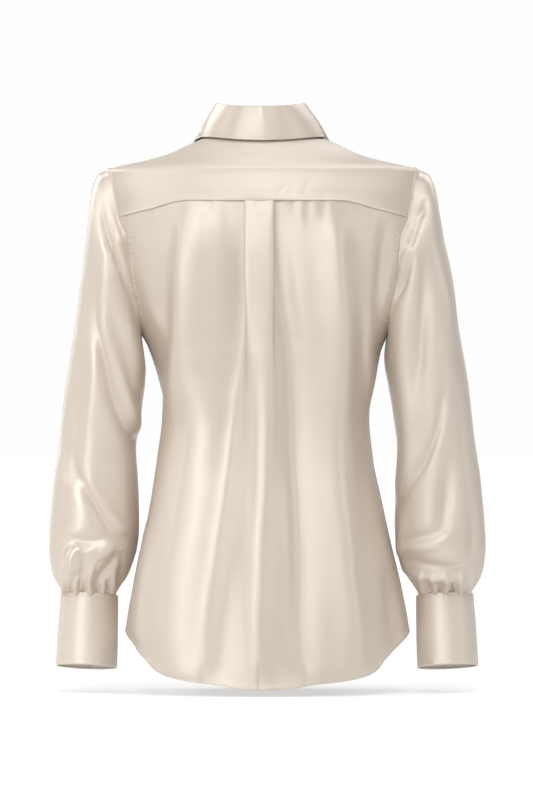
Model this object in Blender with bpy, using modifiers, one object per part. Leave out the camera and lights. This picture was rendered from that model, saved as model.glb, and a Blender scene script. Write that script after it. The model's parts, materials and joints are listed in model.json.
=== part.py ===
"""Silk blouse with a back yoke, a box pleat and gathered sleeves, filled out as worn and empty inside.

Metres, +Z up, the wearer's front toward -Y and the wearer's left toward +X. The origin is in the middle
of the neck, level with the inner end of the shoulders. Tables are in millimetres and degrees.
"""

import math
from bisect import bisect_right
from collections import namedtuple

import bpy
from mathutils import Matrix, Vector

MM = 0.001
WALL = 1.1  # cloth of one piece, measured inward from its outer face
SEAM = 0.4  # clear space between the edges of two pieces at a seam
LAYER = 0.4  # clear space between a piece and the one that it lies on
BACK_ROWS, FRONT_ROWS, YOKE_ROWS = 25, 23, 8  # rows of points down each panel
SEAM_COLUMNS, FRONT_COLUMNS, BAND_COLUMNS = 7, 8, 5  # points along the yoke's seams and across the band
YOKE_COLUMNS = 41
SILK, SILK_ROUGHNESS = (0.76, 0.68, 0.60), 0.34
RESIN, RESIN_ROUGHNESS = (0.86, 0.82, 0.76), 0.2

# Body: horizontal sections, each an oval with its own half widths and its depths behind and in front.
Section = namedtuple("Section", "z left right back front")
BODY = (
    Section(24, 55, 55, 48, 42),
    Section(19, 60, 60, 52, 46),
    Section(8, 81, 80, 58, 56),
    Section(0, 99, 98, 63, 61),
    Section(-10, 121, 119, 69, 66),
    Section(-20, 156, 154, 75, 70),
    Section(-35, 199, 197, 82, 74),
    Section(-60, 202, 200, 92, 80),
    Section(-91, 200, 198, 102, 91),
    Section(-140, 196, 194, 113, 113),
    Section(-175, 186, 185, 115, 126),
    Section(-215, 168, 169, 112, 134),
    Section(-238, 156, 158, 108, 134),
    Section(-250, 149, 152, 105, 131),
    Section(-262, 144, 147.5, 103, 128),
    Section(-297, 133, 141, 95, 115),
    Section(-345, 123.5, 133, 91, 104),
    Section(-399, 131, 138, 97, 104),
    Section(-450, 142, 149, 108, 111),
    Section(-500, 154, 160, 117, 116),
    Section(-564, 167, 175, 123, 118),
    Section(-617, 175, 184, 126, 119),
    Section(-700, 179, 189, 129, 118),
)

# Armhole: where the cloth of the body stops, by height, behind and in front of the shoulder.
Scye = namedtuple("Scye", "z back front")
ARMHOLE = (
    Scye(-35, 90, 90),
    Scye(-37, 84, 96),
    Scye(-43, 75, 104),
    Scye(-60, 70, 108),
    Scye(-75, 68.5, 111),
    Scye(-91, 67, 116),
    Scye(-119, 61, 123.5),
    Scye(-145, 61, 127),
    Scye(-170, 63.7, 125),
    Scye(-205, 67, 118),
    Scye(-225, 73, 108),
    Scye(-234, 79.5, 100),
    Scye(-238, 90, 90),
)
UNDERARM_Z = -238.0
ARM_BEND = 1.5  # how much closer the rows' ends come toward the underarm
BACK_UNDER, BACK_LEVEL_Z = 0.46, -226.0  # share of the rows above the underarm, and centre height there
FRONT_UNDER, FRONT_LEVEL_Z = 0.42, -228.0

# Yoke: the neck seam and the outer edge of each column, from centre back over the shoulder to the front.
Column = namedtuple("Column", "at neck_phi edge_phi edge_z")
YOKE = (
    Column(0, 0, 0, -72.4),
    Column(1, 24, 14.5, -72.3),
    Column(2, 44, 27.5, -71.8),
    Column(3, 54, 46.5, -83),
    Column(4, 62, 67, -92),
    Column(5, 70, 70, -60),
    Column(6, 78, 75, -43),
    Column(7, 90, 90, -35),
    Column(8, 103, 104, -43),
    Column(9, 118, 108, -60),
    Column(10, 134, 111, -75),
)
YOKE_CORNER, YOKE_TIP, YOKE_END = 4, 7, 10  # back corner, shoulder and front seam, as places in the table

# Collar: neck seam, top of the stand and free edge of the leaf, from centre back round to centre front.
Neck = namedtuple("Neck", "at phi z top_x top_y top_z edge_x edge_z edge_out")
COLLAR = (
    Neck(0.00, 0, 16, 0, 50, 43.6, 0, 4, 9),
    Neck(0.15, 24, 16.5, 25, 44, 44.4, 33, 5, 8),
    Neck(0.30, 48, 18, 43, 29, 46.8, 60, 7.5, 5),
    Neck(0.42, 90, 19, 54, 4, 49.6, 79.5, 8.2, 3.4),
    Neck(0.56, 134, 8, 52, -34, 37, 88, -4, 3.4),
    Neck(0.64, 150, -5, 49, -49, 22, 86, -20, 3.6),
    Neck(0.72, 162, -22, 44, -62, 5, 80, -42, 3.8),
    Neck(0.82, 169, -42, 33, -70, -15, 69, -68, 4.2),
    Neck(0.92, 174.6, -55, 17, -75, -29, 54, -94, 4.6),
    Neck(1.00, 180, -60, 0, -76, -34, 40, -100, 4.6),
)
STAND_LAP = 0.06  # how far each end of the stand runs past the centre
LEAF_END = 0.92  # where the leaf stops short of centre front
SIDE_PLACE = 0.42  # place of the collar's side, where the yoke's shoulder line meets the neck
STAND_UNDER, STAND_UNDER_RUN = 0.84, 0.09  # where the stand's left end goes under its right one
STAND_RISES = (1.0, 0.66, 0.33, 0.0)
STAND_IN = 0.15  # how far the stand's face lies inside the neck seam
LEAF_RISE = 1.5  # how far the leaf starts above the stand's top edge
LEAF_TURNS = (0, 55, 105, 155)
LEAF_FALLS = (0.2, 0.4, 0.6, 0.8, 1.0)
LEAF_UNEVEN = 0.035  # how much farther the leaf's left end reaches
LEAF_SWELL = 2.5  # how far the leaf bows out between its roll and its edge
ROLL = 2.6  # radius of the turn from the stand into the leaf
COLLAR_LEAN, LEAN_RUN = 4.0, 0.12  # how far the top of the collar leans toward the wearer's left
SEAM_RUN = 0.12  # how far a side seam's edges stand from the side, in degrees
YOKE_IN, YOKE_UP = 0.35, 1.4  # how far the yoke's front ends stand back (degrees) and up from the seam

# Hem: height along the back and along the front by angle.
Hem = namedtuple("Hem", "phi z")
HEM = (
    Hem(0, -685),
    Hem(10, -684),
    Hem(18, -679),
    Hem(30, -675.5),
    Hem(42, -670),
    Hem(48.6, -663),
    Hem(55.4, -648),
    Hem(64, -635),
    Hem(76, -624),
    Hem(90, -617),
    Hem(104, -622),
    Hem(120, -642),
    Hem(140, -655),
    Hem(180, -659),
)

# Box pleat down from the yoke: its two edges and how proud it stands, by height.
Pleat = namedtuple("Pleat", "z left right height")
PLEAT = (
    Pleat(-430, 19, -11, 0),
    Pleat(-330, 21.5, -11.5, 1.4),
    Pleat(-250, 23, -12, 2.8),
    Pleat(-150, 24, -12, 3.2),
    Pleat(-72, 24, -12, 2.4),
)
PLEAT_STEP = 1.6  # run of the step from the plain cloth up to the pleat
SEAM_FADE = 0.3  # share of the back's rows over which they leave the yoke seam's curve
HEM_FADE = 0.55  # share of the rows where they begin to follow the hem's curve
FRONT_BEND = 1.6  # how a front's rows bend from centre to side

# Hanging folds: side of centre front or back, place at the waist and at the hem, half width, height.
Fold = namedtuple("Fold", "phi_waist phi_hem width height z_top")
BACK_FOLDS = (
    Fold(44, 33, 9, 5, -110),
    Fold(21, 15, 8, -5, -90),
    Fold(1, 1, 8, 4, -300),
    Fold(-16, -12, 7, -5, -140),
    Fold(-43, -33, 10, 5, -120),
    Fold(-68, -58, 10, -5, -100),
    Fold(66, 58, 8, -4, -320),
)
FRONT_FOLDS = (
    Fold(118, 118, 9, -5, -250),
    Fold(139, 134, 9, 4, -240),
    Fold(158, 155, 7, -3, -260),
    Fold(-120, -117, 9, 4, -250),
    Fold(-140, -138, 9, -5, -240),
    Fold(-159, -154, 7, 3, -260),
)

FOLD_START = 160.0  # height over which a fold comes up
BACK_CALM, FRONT_CALM = 14.0, 12.0  # degrees beside an edge over which the folds die down

# Front closing, right side over left.
LAP = 14.0  # each front runs this far past the centre
BAND = 16.0  # the button band reaches this far back from the centre
UNDER_REACH, UNDER_RUN = 32.0, 14.0  # how far beyond the lap the left front starts to go under
BUTTON_R, BUTTON_T, BUTTON_SIDES = 5.5, 2.2, 14
BUTTON_OUT = 0.3  # extra space under a button on the stand or a cuff
STAND_BUTTON_RISE = 0.55
FRONT_BUTTONS_Z = (-92, -170, -248, -326, -404, -482, -560)

# Left sleeve: sections by their outer, inner, back and front points.
Ring = namedtuple("Ring", "at out_x out_z in_x in_z back_x back_y back_z front_x front_y front_z")
SLEEVE = (
    Ring(0, 199, -35, 157, -238, 172, 52, -137, 158, -66, -137),
    Ring(1, 210, -38, 157, -247, 182, 60, -146, 169, -70, -146),
    Ring(2, 217.5, -56, 155, -257, 188, 65, -163, 178, -71, -163),
    Ring(3, 222, -92, 152.5, -270, 193, 67, -188, 186, -71, -188),
    Ring(4, 229, -150, 151, -284, 197, 65, -224, 192, -70, -225),
    Ring(5, 240, -233, 152.5, -306, 199, 61, -275, 196, -67, -278),
    Ring(6, 252, -312, 157, -342, 204, 57, -330, 202, -64, -333),
    Ring(7, 259, -373, 163, -385, 210.5, 54, -380, 210, -62, -382),
    Ring(8, 266.5, -424, 160.5, -428, 213, 54, -426, 213, -63, -428),
    Ring(9, 271.5, -478, 159, -476, 214, 55, -478, 214, -66, -480),
    Ring(10, 273, -508, 161, -504, 215.5, 55, -506, 216, -68, -508),
    Ring(11, 270.5, -534, 167.5, -530, 218, 50, -531, 219, -65, -536),
    Ring(12, 264, -553, 176, -550, 220.5, 41, -549, 220, -55, -555),
    Ring(13, 258, -564.5, 184, -563, 221.3, 31, -560, 221.3, -48.5, -568),
    Ring(14, 256.6, -570.5, 187, -570, 221.8, 25.9, -566.5, 221.8, -43.5, -575),
)
SLEEVE_SPLITS = (2, 2, 1, 1, 1, 2, 2, 1, 1, 1, 1, 1, 2, 1)
SLEEVE_COLUMNS = 44
SCYE_STEP = 2  # degrees between the armhole's measured points
CAP_END = 3.2  # section down to which the sleeve still follows the armhole
CUFF_FROM = 12  # section from which the sleeve turns round like the cuff
WRIST_UP = 0.9  # how far above the cuff the sleeve ends
GATHERS, GATHER_DEPTH = 11, 2.6
GATHER_FROM, GATHER_RUN, GATHER_EASE = 11, 2.2, 0.45
RIGHT_SHIFT = 8.0  # how much wider the right sleeve hangs below the underarm

# Folds of a sleeve: ridge lines from one (angle, section) to another.
Crease = namedtuple("Crease", "angle0 at0 angle1 at1 width height")
CREASES = (
    Crease(40, 0.8, 75, 4.2, 13, 4),
    Crease(62, 4.0, 128, 7.6, 17, 6),
    Crease(28, 7.8, 128, 9.6, 16, 5),
    Crease(96, 5.6, 60, 7.6, 14, -4),
    Crease(70, 10.3, 140, 10.7, 18, 4),
    Crease(-40, 1.0, -80, 4.5, 14, 4),
    Crease(-60, 5.0, -130, 7.8, 16, 5),
    Crease(-120, 8.6, -40, 9.8, 16, 4),
)
CREASE_END = 0.8  # how far a ridge runs on past its end, in sections
CREASES_FROM, CREASES_TO, CREASES_RUN = 0.6, 13.0, 1.5

# Cuff: a band round the wrist that laps over itself at the front.
CUFF_TOP, CUFF_BOTTOM = Vector((221.8, -9.0, -570.7)), Vector((225.4, 2.2, -660.3))
CUFF_R = (34.9, 37.4)
WRIST_AXIS = (CUFF_TOP - CUFF_BOTTOM).normalized()
CUFF_LAP = 32.0  # degrees that the band overlaps itself
CUFF_LAP_AT = -78.0  # middle of the lap, where -90 is straight forward
CUFF_UNDER, CUFF_UNDER_RUN = 26, 24  # degrees past the lap over which the lower end comes out again
CUFF_COLUMNS = 37
CUFF_RISES = (0.0, 0.33, 0.67, 1.0)
CUFF_BUTTONS = (0.28, 0.72)


def track(rows, key, field):
    """Smooth curve of one field of a table over another, with no overshoot between rows."""
    rows = sorted(rows, key=lambda row: getattr(row, key))
    xs = [getattr(row, key) for row in rows]
    ys = [getattr(row, field) for row in rows]
    last = len(rows) - 1
    steps = [(ys[i + 1] - ys[i]) / (xs[i + 1] - xs[i]) for i in range(last)]
    slopes = [steps[0]] + [0.0] * (last - 1) + [steps[-1]]
    for i in range(1, last):
        before, after = steps[i - 1], steps[i]
        slopes[i] = 2 * before * after / (before + after) if before * after > 0 else 0.0

    def at(x):
        x = min(max(x, xs[0]), xs[-1])
        i = min(bisect_right(xs, x) - 1, last - 1)
        run = xs[i + 1] - xs[i]
        t = (x - xs[i]) / run
        value = (1 + 2 * t) * (1 - t) ** 2 * ys[i] + t * t * (3 - 2 * t) * ys[i + 1]
        return value + t * (1 - t) * run * ((1 - t) * slopes[i] - t * slopes[i + 1])

    return at


def tracks(rows, key):
    """Every other field of a table as a smooth curve over its key field, by name."""
    return {field: track(rows, key, field) for field in rows[0]._fields if field != key}


BODY_AT = tracks(BODY, "z")
ARM_AT = tracks(ARMHOLE, "z")
YOKE_AT = tracks(YOKE, "at")
COLLAR_AT = tracks(COLLAR, "at")
HEM_AT = track(HEM, "phi", "z")
PLEAT_AT = tracks(PLEAT, "z")
SLEEVE_AT = tracks(SLEEVE, "at")
SHOULDER_Z = ARMHOLE[0].z
YOKE_NECK = 0.56  # place along the collar where the yoke's front seam meets the neck
ALONG = 0.01  # step along the collar for its direction
NECK_AT = track(COLLAR, "phi", "z")
BACK_SEAM_AT = track(YOKE[: YOKE_CORNER + 1], "edge_phi", "edge_z")


def spread(start, end, count):
    """Evenly spaced values from start to end."""
    return [start + (end - start) * i / (count - 1) for i in range(count)]


NECK_PLACES = spread(YOKE_NECK, 1, 9)
COLLAR_PLACES = spread(0, YOKE_NECK, 11)[:-1] + NECK_PLACES


def ease(t):
    """Smooth step from 0 to 1."""
    t = min(max(t, 0.0), 1.0)
    return t * t * (3 - 2 * t)


def mix(a, b, t):
    """Value part of the way from a to b."""
    return a + (b - a) * t


def torso(side, phi, z, out=0.0):
    """Point of the body, moved out from it, at an angle from centre back (0) to centre front (180)."""
    turn = math.radians(phi)
    half = BODY_AT["left" if side > 0 else "right"]
    depth = BODY_AT["back" if phi < 90 else "front"]
    point = Vector((side * half(z) * math.sin(turn), depth(z) * math.cos(turn), z))
    if not out:
        return point
    round_body = Vector((side * half(z) * math.cos(turn), -depth(z) * math.sin(turn), 0))
    up_body = Vector((side * (half(z + 1) - half(z - 1)) * math.sin(turn), 0, 2))
    up_body.y = (depth(z + 1) - depth(z - 1)) * math.cos(turn)
    return point + round_body.cross(up_body).normalized() * (-side * out)


def phi_at(side, x, z):
    """Angle from the centre at which the body's half width is x."""
    return math.degrees(math.asin(x / BODY_AT["left" if side > 0 else "right"](z)))


def fold_height(folds, signed_phi, z):
    """How far the hanging folds move the cloth out."""
    down = (UNDERARM_Z - z) / (UNDERARM_Z - HEM[0].z)
    total = 0.0
    for fold in folds:
        centre = mix(fold.phi_waist, fold.phi_hem, min(max(down, 0.0), 1.0))
        fade = ease((fold.z_top - z) / FOLD_START)
        total += fold.height * fade * math.exp(-(((signed_phi - centre) / fold.width) ** 2))
    return total


def material(name, colour, roughness):
    """Plain Principled material."""
    made = bpy.data.materials.new(name)
    made.use_nodes = True
    shader = made.node_tree.nodes["Principled BSDF"]
    shader.inputs["Base Color"].default_value = (*colour, 1)
    shader.inputs["Roughness"].default_value = roughness
    return made


def place(obj, surface, collection):
    """Gives an object its material and collection, smooth shaded."""
    obj.data.materials.append(surface)
    obj.data.shade_smooth()
    collection.objects.link(obj)
    return obj


def cloth(name, rows, surface, collection, round_about=False):
    """Cloth piece whose outer face is a grid of points in millimetres, thickened inward."""
    width = len(rows[0])
    points = [point * MM for row in rows for point in row]
    faces = []
    for r in range(len(rows) - 1):
        for c in range(width if round_about else width - 1):
            after = (c + 1) % width
            faces.append((r * width + c, r * width + after, (r + 1) * width + after, (r + 1) * width + c))
    mesh = bpy.data.meshes.new(name)
    mesh.from_pydata(points, [], faces)
    obj = place(bpy.data.objects.new(name, mesh), surface, collection)
    shell = obj.modifiers.new("wall", "SOLIDIFY")
    shell.thickness, shell.offset = WALL * MM, -1
    return obj


def back_height(t):
    """Height of a back row at the centre and at the armhole or side edge, for t from 0 to 1."""
    if t < BACK_UNDER:
        share = t / BACK_UNDER
        eased = 1 - (1 - share) ** ARM_BEND
        return mix(YOKE[0].edge_z, BACK_LEVEL_Z, share), mix(YOKE[YOKE_CORNER].edge_z, UNDERARM_Z, eased)
    share = (t - BACK_UNDER) / (1 - BACK_UNDER)
    return mix(BACK_LEVEL_Z, HEM_AT(0), share), mix(UNDERARM_Z, HEM_AT(90), share)


def back_rows():
    """Back panel, from the wearer's left to right in each row, yoke seam to hem."""
    seam = [YOKE_AT["edge_phi"](k) for k in spread(1, YOKE_CORNER, SEAM_COLUMNS)]
    shares = {}
    for side, edge in ((1, PLEAT[-1].left), (-1, -PLEAT[-1].right)):
        first = phi_at(side, edge + PLEAT_STEP, YOKE[0].edge_z)
        shares[side] = [0.0] + [(phi - first) / (seam[-1] - first) for phi in seam]
    rows = []
    for t in spread(0, 1, BACK_ROWS):
        middle, edge = back_height(t)
        edge_phi = ARM_AT["back"](edge) - SEAM_RUN
        left = [back_point(1, share, t, middle, edge, edge_phi) for share in reversed(shares[1])]
        right = [back_point(-1, share, t, middle, edge, edge_phi) for share in shares[-1]]
        rows.append(left + pleat_points(t, middle) + right)
    return rows


def row_height(t, phi, edge_phi, middle, edge):
    """Height on a back row: along the yoke seam at the top, along the hem at the bottom."""
    share = phi / edge_phi
    level = mix(middle, edge, share**2)
    corner = YOKE[YOKE_CORNER]
    top = BACK_SEAM_AT(share * corner.edge_phi) - SEAM / 2
    seam = (1 - ease(t / SEAM_FADE)) * (top - mix(YOKE[0].edge_z, corner.edge_z, share**2))
    low = ease((t - HEM_FADE) / (1 - HEM_FADE)) * (HEM_AT(phi) - mix(HEM_AT(0), HEM_AT(90), share**2))
    return level + seam + low


def back_point(side, share, t, middle, edge, edge_phi):
    """Point of the back outside the pleat, at its share of the way to the side edge."""
    pleat = PLEAT_AT["left"](middle) if side > 0 else -PLEAT_AT["right"](middle)
    phi = mix(phi_at(side, pleat + PLEAT_STEP, middle), edge_phi, share)
    z = row_height(t, phi, edge_phi, middle, edge)
    calm = ease((edge_phi - phi) / BACK_CALM)
    return torso(side, phi, z, calm * fold_height(BACK_FOLDS, side * phi, z))


def pleat_points(t, middle):
    """Raised strip of the pleat across one row."""
    left, right = PLEAT_AT["left"](middle), PLEAT_AT["right"](middle)
    proud = PLEAT_AT["height"](middle)
    points = []
    for x in (left, (left + right) / 2, right):
        side = 1 if x > 0 else -1
        phi = phi_at(side, abs(x), middle)
        z = row_height(t, phi, 90, middle, middle)
        points.append(torso(side, phi, z, proud + fold_height(BACK_FOLDS, side * phi, z)))
    return points


def yoke_rows():
    """Yoke, neck seam to outer edge, from the left front round the back to the right front."""
    stations = spread(-YOKE_END, YOKE_END, YOKE_COLUMNS)
    rows = []
    for r in spread(0, 1, YOKE_ROWS):
        row = []
        for at in reversed(stations):
            side, k = (1 if at >= 0 else -1), abs(at)
            neck_phi = YOKE_AT["neck_phi"](k)
            edge_phi, edge_z = yoke_edge(k)
            phi = mix(neck_phi, edge_phi, r) - (YOKE_IN * (1 - r) if k == YOKE_END else 0)
            row.append(torso(side, phi, mix(NECK_AT(neck_phi), edge_z, r)))
        rows.append(row)
    return rows


def yoke_edge(k):
    """Angle and height of the yoke's outer edge: the back seam, then the armhole over the shoulder."""
    phi, z = YOKE_AT["edge_phi"](k), YOKE_AT["edge_z"](k)
    if k <= YOKE_CORNER:
        return phi, BACK_SEAM_AT(phi) + SEAM / 2
    z += YOKE_UP * ease(k - YOKE_END + 1)
    return ARM_AT["back" if k <= YOKE_TIP else "front"](z), z


def front_top(phi):
    """Height of a front's top edge: the yoke seam, then the neck seam."""
    seam, neck_phi = YOKE[-1], YOKE[-1].neck_phi
    if phi < neck_phi:
        share = (phi - seam.edge_phi) / (neck_phi - seam.edge_phi)
        return mix(seam.edge_z, NECK_AT(neck_phi), share) - SEAM
    return NECK_AT(min(phi, 360 - phi)) - SEAM / 2


def front_level(t):
    """Edge angle, edge height and centre height of a front row, for t from 0 at the top to 1 at the hem."""
    if t < FRONT_UNDER:
        share = t / FRONT_UNDER
        edge = mix(YOKE[-1].edge_z, UNDERARM_Z, 1 - (1 - share) ** ARM_BEND)
        return ARM_AT["front"](edge) + SEAM_RUN, edge, mix(NECK_AT(180), FRONT_LEVEL_Z, share)
    share = (t - FRONT_UNDER) / (1 - FRONT_UNDER)
    return 90 + SEAM_RUN, mix(UNDERARM_Z, HEM_AT(90), share), mix(FRONT_LEVEL_Z, HEM_AT(180), share)


def front_height(t, phi):
    """Height on a front row at an angle: along the top edge, then level, then along the hem."""
    edge_phi, edge, middle = front_level(t)
    first_phi, first_edge, first_middle = front_level(0)
    share = max(0.0, (180 - phi) / (180 - edge_phi))
    bend = share**FRONT_BEND
    top = front_top(mix(180, first_phi, share) if phi < 180 else phi) - mix(first_middle, first_edge, bend)
    low = HEM_AT(min(phi, 360 - phi)) - mix(HEM_AT(180), HEM_AT(90), bend)
    low *= ease((t - HEM_FADE) / (1 - HEM_FADE))
    return mix(middle, edge, bend) + (1 - ease(t / FRONT_UNDER)) * top + low


def front_rows(side):
    """Front panel, from the side seam and armhole past the centre, top edge to hem."""
    first_phi = front_level(0)[0]
    neck = [COLLAR_AT["phi"](at) for at in NECK_PLACES]
    seam = spread(first_phi, neck[0], FRONT_COLUMNS)
    shares = [(phi - first_phi) / (180 - first_phi) for phi in seam[:-1] + neck]
    rows = []
    for t in spread(0, 1, FRONT_ROWS):
        edge_phi, _, middle = front_level(t)
        angles = [mix(edge_phi, 180, share) for share in shares] + [180 + phi_at(side, LAP, middle)]
        rows.append([front_point(side, phi, t, edge_phi) for phi in angles])
    return rows


def front_point(side, phi, t, edge_phi):
    """Point of a front; near the centre the left one lies under the right one."""
    z = front_height(t, phi)
    calm = ease((phi - edge_phi) / FRONT_CALM) * ease((180 - phi) / FRONT_CALM)
    fold = calm * fold_height(FRONT_FOLDS, side * phi, z)
    x = abs(torso(side, phi, z).x) if phi < 180 else 0
    under = (WALL + 2 * LAYER) * ease((LAP + UNDER_REACH - x) / UNDER_RUN) if side > 0 else 0
    return torso(side, phi, z, fold - under)


def band_rows():
    """Button band: a strip of the right front's face at the centre, moved out."""
    rows = []
    for t in spread(0, 1, FRONT_ROWS):
        middle = front_level(t)[2]
        angles = [180 + phi_at(-1, x, middle) for x in spread(-BAND, LAP - LAYER, BAND_COLUMNS)]
        rows.append([torso(-1, phi, front_height(t, phi), WALL + LAYER) for phi in angles])
    return rows


def neck_line(at, side, rise=0.0):
    """Point of the neck seam, raised toward the top of the stand; past the centre it goes on round."""
    if at > 1:
        at, side = 2 - at, -side
    phi, lean = COLLAR_AT["phi"](at), COLLAR_LEAN * (1 - ease((at - SIDE_PLACE) / LEAN_RUN))
    top = Vector((side * COLLAR_AT["top_x"](at) + lean, COLLAR_AT["top_y"](at), COLLAR_AT["top_z"](at)))
    return torso(side, phi, NECK_AT(phi)).lerp(top, rise)


def neck_axes(at, side):
    """Directions out from the stand and up it."""
    up = (neck_line(at, side, 1) - neck_line(at, side)).normalized()
    before = neck_line(abs(at - ALONG), side if at > ALONG else -side, 1)
    along = neck_line(at + ALONG, side, 1) - before
    return up.cross(along).normalized() * side, up


def both_sides(places):
    """Side and place along the collar for each column, left end first."""
    return [(1, at) for at in reversed(places)] + [(-1, at) for at in places[1:]]


def stand_rows():
    """Collar stand; past the centre its right end lies over its left one."""
    rows = []
    for rise in STAND_RISES:
        row = []
        for side, at in both_sides(COLLAR_PLACES + [1 + STAND_LAP]):
            out, up = neck_axes(at, side)
            under = (WALL + LAYER) * ease((at - STAND_UNDER) / STAND_UNDER_RUN) if side > 0 else 0
            row.append(neck_line(at, side, rise) + up * SEAM * (1 - rise) - out * (under + STAND_IN))
        rows.append(row)
    return rows


def leaf_rows():
    """Collar leaf: up from the stand, over the roll and down to its free edge."""
    columns = []
    for side, at in both_sides([at for at in COLLAR_PLACES if at < LEAF_END] + [LEAF_END]):
        out, up = neck_axes(at, side)
        start = neck_line(at, side, 1.0) + up * (SEAM + LEAF_RISE) - out * (WALL + STAND_IN)
        centre = start + out * ROLL
        turns = [math.radians(turn) for turn in LEAF_TURNS]
        roll = [centre - out * ROLL * math.cos(turn) + up * ROLL * math.sin(turn) for turn in turns]
        edge = leaf_edge(at, side)
        fall = [roll[-1].lerp(edge, f) + out * LEAF_SWELL * math.sin(math.pi * f) for f in LEAF_FALLS]
        columns.append(roll + fall)
    return [list(row) for row in zip(*columns)]


def leaf_edge(at, side):
    """Point of the leaf's free edge, lying a little off the body."""
    x, z = COLLAR_AT["edge_x"](at) * (1 + LEAF_UNEVEN * side), COLLAR_AT["edge_z"](at)
    widest = 0.9998 * BODY_AT["left" if side > 0 else "right"](z)
    phi = phi_at(side, min(x, widest), z)
    return torso(side, phi if at < SIDE_PLACE else 180 - phi, z, COLLAR_AT["edge_out"](at))


def mirrored(point, side):
    """The same point or direction on the wearer's left or right."""
    return Vector((side * point.x, point.y, point.z))


def scye_loop(side, count):
    """Armhole points with the directions that lead away from the body, from the shoulder over the back."""
    angles = [math.radians(angle) for angle in range(0, 181, SCYE_STEP)]
    heights = [mix(SHOULDER_Z, UNDERARM_Z, (1 - math.cos(angle)) / 2) for angle in angles]
    path = [("back", z) for z in heights] + [("front", z) for z in reversed(heights[1:-1])]
    points = [torso(side, ARM_AT[part](z), z) for part, z in path]
    normals = [torso(side, ARM_AT[part](z), z, 1.0) - point for (part, z), point in zip(path, points)]
    lengths = [0.0]
    for i, point in enumerate(points):
        lengths.append(lengths[-1] + (points[(i + 1) % len(points)] - point).length)
    under = lengths[len(heights) - 1]
    loop = []
    for k in range(count):
        turn = 2 * k / count
        goal = turn * under if turn <= 1 else mix(under, lengths[-1], turn - 1)
        i = min(bisect_right(lengths, goal) - 1, len(points) - 1)
        share = (goal - lengths[i]) / (lengths[i + 1] - lengths[i])
        after = (i + 1) % len(points)
        along = (points[after] - points[i]).normalized()
        across = along.cross(normals[i].lerp(normals[after], share)).normalized() * side
        point = points[i].lerp(points[after], share)
        loop.append((mirrored(point, side), mirrored(across, side)))
    return loop


def sleeve_section(at, angle):
    """Point of the sleeve's plain section, through its outer, back, inner and front points."""
    value = {name: curve(at) for name, curve in SLEEVE_AT.items()}
    outer = Vector((value["out_x"], 0, value["out_z"]))
    inner = Vector((value["in_x"], 0, value["in_z"]))
    back = Vector((value["back_x"], value["back_y"], value["back_z"]))
    front = Vector((value["front_x"], value["front_y"], value["front_z"]))
    outer.y = inner.y = (back.y + front.y) / 2 if at > 1 else (back.y + front.y) / 2 * at
    middle = (outer + inner + back + front) / 4
    turn = math.radians(angle)
    oval = (outer + inner - back - front) / 4
    point = middle + (outer - inner) / 2 * math.cos(turn) + (back - front) / 2 * math.sin(turn)
    return point + oval * math.cos(2 * turn)


def crease_height(angle, at):
    """How far the sleeve's folds move the cloth out, each along a line of its own."""
    total = 0.0
    for crease in CREASES:
        share = (at - crease.at0) / (crease.at1 - crease.at0)
        line = mix(crease.angle0, crease.angle1, min(max(share, 0.0), 1.0))
        gone = max(-share, share - 1, 0.0) * abs(crease.at1 - crease.at0)
        away = (angle - line + 180) % 360 - 180
        total += crease.height * math.exp(-((away / crease.width) ** 2) - (gone / CREASE_END) ** 2)
    return total * ease((at - CREASES_FROM) / CREASES_RUN) * ease((CREASES_TO - at) / CREASES_RUN)


def sleeve_rows(side):
    """Sleeve from the armhole to the cuff; the right one hangs a little wider."""
    loop = scye_loop(side, SLEEVE_COLUMNS)
    places = [0.0]
    for i, splits in enumerate(SLEEVE_SPLITS):
        places += [i + k / splits for k in range(1, splits + 1)]
    rows = []
    for at in places:
        row = []
        for k, (scye, across) in enumerate(loop):
            angle = 360 * k / SLEEVE_COLUMNS
            plain = sleeve_section(at, angle)
            start = scye + across * SEAM * 2 - sleeve_section(0, angle)
            point = plain + start * (1 - ease(at / CAP_END))
            away = plain - sleeve_section(at, angle + 180)
            away = Vector((away.x, away.y, 0)).normalized()
            gather = GATHER_DEPTH * ease((at - GATHER_FROM) / GATHER_RUN)
            gather *= 1 - GATHER_EASE * ease(at - CREASES_TO)
            wave = math.cos(GATHERS * math.radians(angle)) - 1
            fold = crease_height((angle + 180) % 360 - 180, at)
            wrist = cuff_point(0, angle, 1) + WRIST_AXIS * WRIST_UP
            point = point.lerp(wrist, ease((at - CUFF_FROM) / 2)) + away * (gather * wave / 2 + fold)
            if side < 0:
                point.x += RIGHT_SHIFT * ease((at - 2) / 4)
            row.append(mirrored(point, side))
        rows.append(row if side < 0 else [row[0]] + row[:0:-1])
    return rows


def cuff_frame(share, side):
    """Centre and radius of the cuff, from its top (0) to its bottom (1)."""
    centre = CUFF_TOP.lerp(CUFF_BOTTOM, share)
    return centre + Vector((RIGHT_SHIFT, 0, 0)) * (side < 0), mix(*CUFF_R, share)


def cuff_point(share, angle, side, out=0.0):
    """Point of the cuff at an angle where 0 is outward from the body and 90 is backward."""
    centre, radius = cuff_frame(share, side)
    back = (Vector((0, 1, 0)) - WRIST_AXIS * WRIST_AXIS.y).normalized()
    outer = back.cross(WRIST_AXIS)
    turn = math.radians(angle)
    point = centre + (outer * math.cos(turn) + back * math.sin(turn)) * (radius + out)
    return mirrored(point, side)


def cuff_rows(side):
    """Cuff band, whose last stretch lies over its first."""
    first = CUFF_LAP_AT - CUFF_LAP / 2
    angles = spread(first, first + 360 + CUFF_LAP, CUFF_COLUMNS)
    rows = []
    for share in CUFF_RISES:
        row = []
        for angle in angles:
            under = ease((first + CUFF_LAP + CUFF_UNDER - angle) / CUFF_UNDER_RUN)
            row.append(cuff_point(share, angle, side, -(WALL + LAYER) * under))
        rows.append(row if side < 0 else row[::-1])
    return rows


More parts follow.
